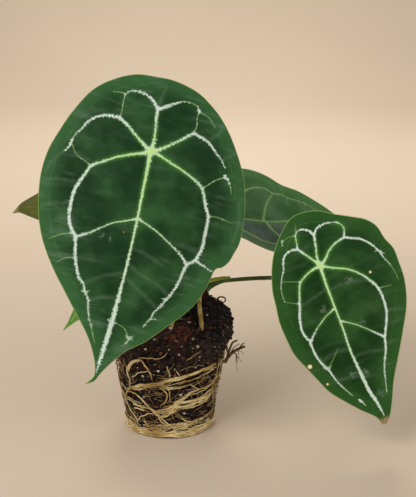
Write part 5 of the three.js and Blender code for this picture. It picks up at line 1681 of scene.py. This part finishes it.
# %% Tuft
TUFT = [
    (1.4, [(39.5, -8, 48), (43, -5, 53), (48, -2, 55.5), (54, 0, 57.5)]),
    (0.9, [(41, -6, 51), (43.2, -3, 57), (45, -1, 60.5), (48.5, 0, 62)]),
    (0.5, [(46, -3, 54.5), (48, -5, 51.5), (47.5, -6, 48)]),
    (0.35, [(44, -4, 54), (46, -3, 58), (50, -2, 60)]),
    (0.25, [(47, -3, 55), (51, -3, 55), (53, -4, 52.5)]),
    (0.22, [(47, -3, 54), (49, -4, 49), (48, -4, 44), (49, -4, 40)]),
    (0.7, [(40.5, -9, 62), (41.5, -8, 56), (40.5, -8, 50)]),
    (0.5, [(50, -2, 56.5), (51.5, -1, 59), (54, 0, 60)]), (0.2, [(49, -3, 55), (50, -4, 50), (52, -4, 47)]),
]
tuft_lines = []
for radius, route in TUFT:
    line = smooth_line(route, 0.6, axes=3)
    tuft_lines.append((line, radius * np.linspace(1, 0.65, len(line)), False))
tuft = grow_limbs("root_tuft", tuft_lines, DARK_ROOT,
                  {"Sides": 9, "Wander": 0.0009, "Wander size": 300.0, "Knots": 0.0011, "Knot size": 550.0})
fit_piece(tuft, "root")

# %% Young root
YOUNG_ROOT = {"radius": 1.25, "clear": 1.2, "yellow_to": 0.0505, "pale_from": 0.054}
YOUNG_TAPER = ([0, 0.08, 0.25, 1], [0.25, 0.65, 1.0, 0.75])
young_skin, tree, shader = new_material("young root tip")
place = tree.add("ShaderNodeTexCoord").outputs["Object"]
height = tree.add("ShaderNodeSeparateXYZ", {0: place}).outputs[2]
past_tip = tree.fit(height, YOUNG_ROOT["yellow_to"], YOUNG_ROOT["pale_from"])
skin = tree.mix(past_tip, colour(196, 170, 62), colour(214, 188, 146))
skin_grain = tree.group(GRAIN, {"Place": place, "Coarse": 700.0, "Fine": 2500.0, "Fine share": 0.5})
finish_material(tree, shader, skin, 0.5, skin_grain, 0.0002)
tip_line = on_ball([(-134, 50), (-131, 55), (-125, 59.5), (-117, 62)], YOUNG_ROOT["clear"], step=0.8)
tip_radii = YOUNG_ROOT["radius"] * np.interp(np.linspace(0, 1, len(tip_line)), *YOUNG_TAPER)
young_root = grow_limbs("young_root", [(tip_line, tip_radii, False)], young_skin,
                        {"Sides": 12, "Knots": 0.0004, "Knot size": 500.0})
fit_piece(young_root, "root")

# %% [markdown]
# ## Fine roots and coir fibres
#
# Between the thick strands there is a web of hair roots, and coir fibres stick out of the mix. Each is a
# short bent line. They are laid out on the ball by rule with a fixed seed and grown by the limb tree with
# only three or four sides, which keeps over a thousand of them light.

# %% Hair roots and fibres
HAIR_TAPER = np.array([1, 1, 0.9, 0.7, 0.4])


def hair(heights, length, lift, level):
    """Five points of a short bent line on the ball's wall."""
    angle, z = rng.uniform(-math.pi, math.pi), rng.uniform(*heights)
    heading = rng.normal(0, 1.0 - level) + (math.pi if rng.random() < 0.5 else 0)
    stride = rng.uniform(0.4, 1.0) * length / 4
    bend = rng.normal(0, 0.5)
    rows = []
    for _ in HAIR_TAPER:
        angle += math.cos(heading) * stride / cone_radius(z)
        z += math.sin(heading) * stride
        heading += bend / 2
        z = min(max(z, 1.0), 74.0)
        out = cone_radius(z) + 0.1 + lift * rng.uniform(0, 1)
        rows.append((out * math.cos(angle), out * math.sin(angle), z))
    return np.array(rows)


def strewn_hairs(count, radius, heights, length, lift, level):
    """Hairs all round the ball. The level is how much they keep to the ring direction."""
    return [(hair(heights, length, lift, level), radius * HAIR_TAPER, False) for _ in range(count)]


hair_lines = strewn_hairs(520, 0.2, heights=(2, 56), length=13, lift=0.9, level=0.55)
hair_roots = grow_limbs("hair_roots", hair_lines, PALE_ROOT,
                        {"Sides": 4, "Wander": 0.001, "Wander size": 300.0})
fit_piece(hair_roots, "root")
FIBRE = limb_finish("coir fibre", colour(84, 46, 26), colour(150, 92, 52), 90, 600, 2500, 0.6, 0.0001)
fibre_lines = strewn_hairs(650, 0.13, heights=(6, 74), length=9, lift=1.4, level=0.1)
fibres = grow_limbs("coir_fibres", fibre_lines, FIBRE, {"Sides": 3, "Wander": 0.001, "Wander size": 300.0})
fit_piece(fibres, "potting_mix")

# %% [markdown]
# ## Floor and light
#
# The plant stands on a plain warm pale floor that curves up behind it, so there is no horizon. A large soft
# light from the upper left front models the leaves, and a weaker one from the right fills the shadows. A
# third hangs behind the plant, where it brightens the floor and lifts the edges a little.

# %% Floor
FLOOR = {"half": 3.0, "front": -4.0, "back": 1.2, "bend": 0.8, "steps": 24, "height": 3.0}
profile = [(FLOOR["front"], 0.0), (FLOOR["back"], 0.0)]
for i in range(1, FLOOR["steps"] + 1):
    turn = math.pi / 2 * i / FLOOR["steps"]
    profile.append((FLOOR["back"] + FLOOR["bend"] * math.sin(turn), FLOOR["bend"] * (1 - math.cos(turn))))
profile.append((FLOOR["back"] + FLOOR["bend"], FLOOR["height"]))
floor_points = [(x / MM, y / MM, z / MM) for y, z in profile for x in (-FLOOR["half"], FLOOR["half"])]
floor_faces = [(2 * i, 2 * i + 1, 2 * i + 3, 2 * i + 2) for i in range(len(profile) - 1)]
floor = mesh_object("floor", floor_points, floor_faces)
material, tree, shader = new_material("warm paper floor")
place = tree.add("ShaderNodeTexCoord").outputs["Object"]
paper = tree.group(MOTTLE, {"Place": place, "Scale": 1.2, "First": colour(214, 196, 173),
                            "Second": colour(220, 202, 179)})
finish_material(tree, shader, paper, 0.9, tree.noise(place, 900.0), 0.00005)
floor.data.materials.append(material)
floor.data.shade_smooth()
print("floor steps:", len(profile))

# %% Lights
LIGHTS = [
    ("key", (-0.9, -1.1, 1.3), (0.02, 0, 0.16), 1.2, 18.0, (1.0, 0.98, 0.96)),
    ("fill", (1.2, -1.0, 0.7), (0.02, 0, 0.16), 1.4, 6.5, (1.0, 0.98, 0.96)),
    ("glow", (0.02, 0.85, 0.85), (0.0, 1.0, 0), 0.6, 6.0, (1.0, 0.98, 0.95)),
]
for name, place, aim, size, watts, tint in LIGHTS:
    light = bpy.data.lights.new(name, "AREA")
    light.shape = "DISK"
    light.size = size
    light.energy = watts
    light.color = tint
    lamp = bpy.data.objects.new(name, light)
    lamp.location = place
    lamp.rotation_euler = (Vector(aim) - Vector(place)).to_track_quat("-Z", "Y").to_euler()
    bpy.context.scene.collection.objects.link(lamp)

SKY = {"colour": (1.0, 0.97, 0.93, 1.0), "strength": 0.34}
world = bpy.data.worlds.new("studio")
bpy.context.scene.world = world
world.use_nodes = True
world.node_tree.nodes["Background"].inputs["Color"].default_value = SKY["colour"]
world.node_tree.nodes["Background"].inputs["Strength"].default_value = SKY["strength"]
bpy.context.scene.view_settings.view_transform = "Standard"
print("lights:", [light[0] for light in LIGHTS])
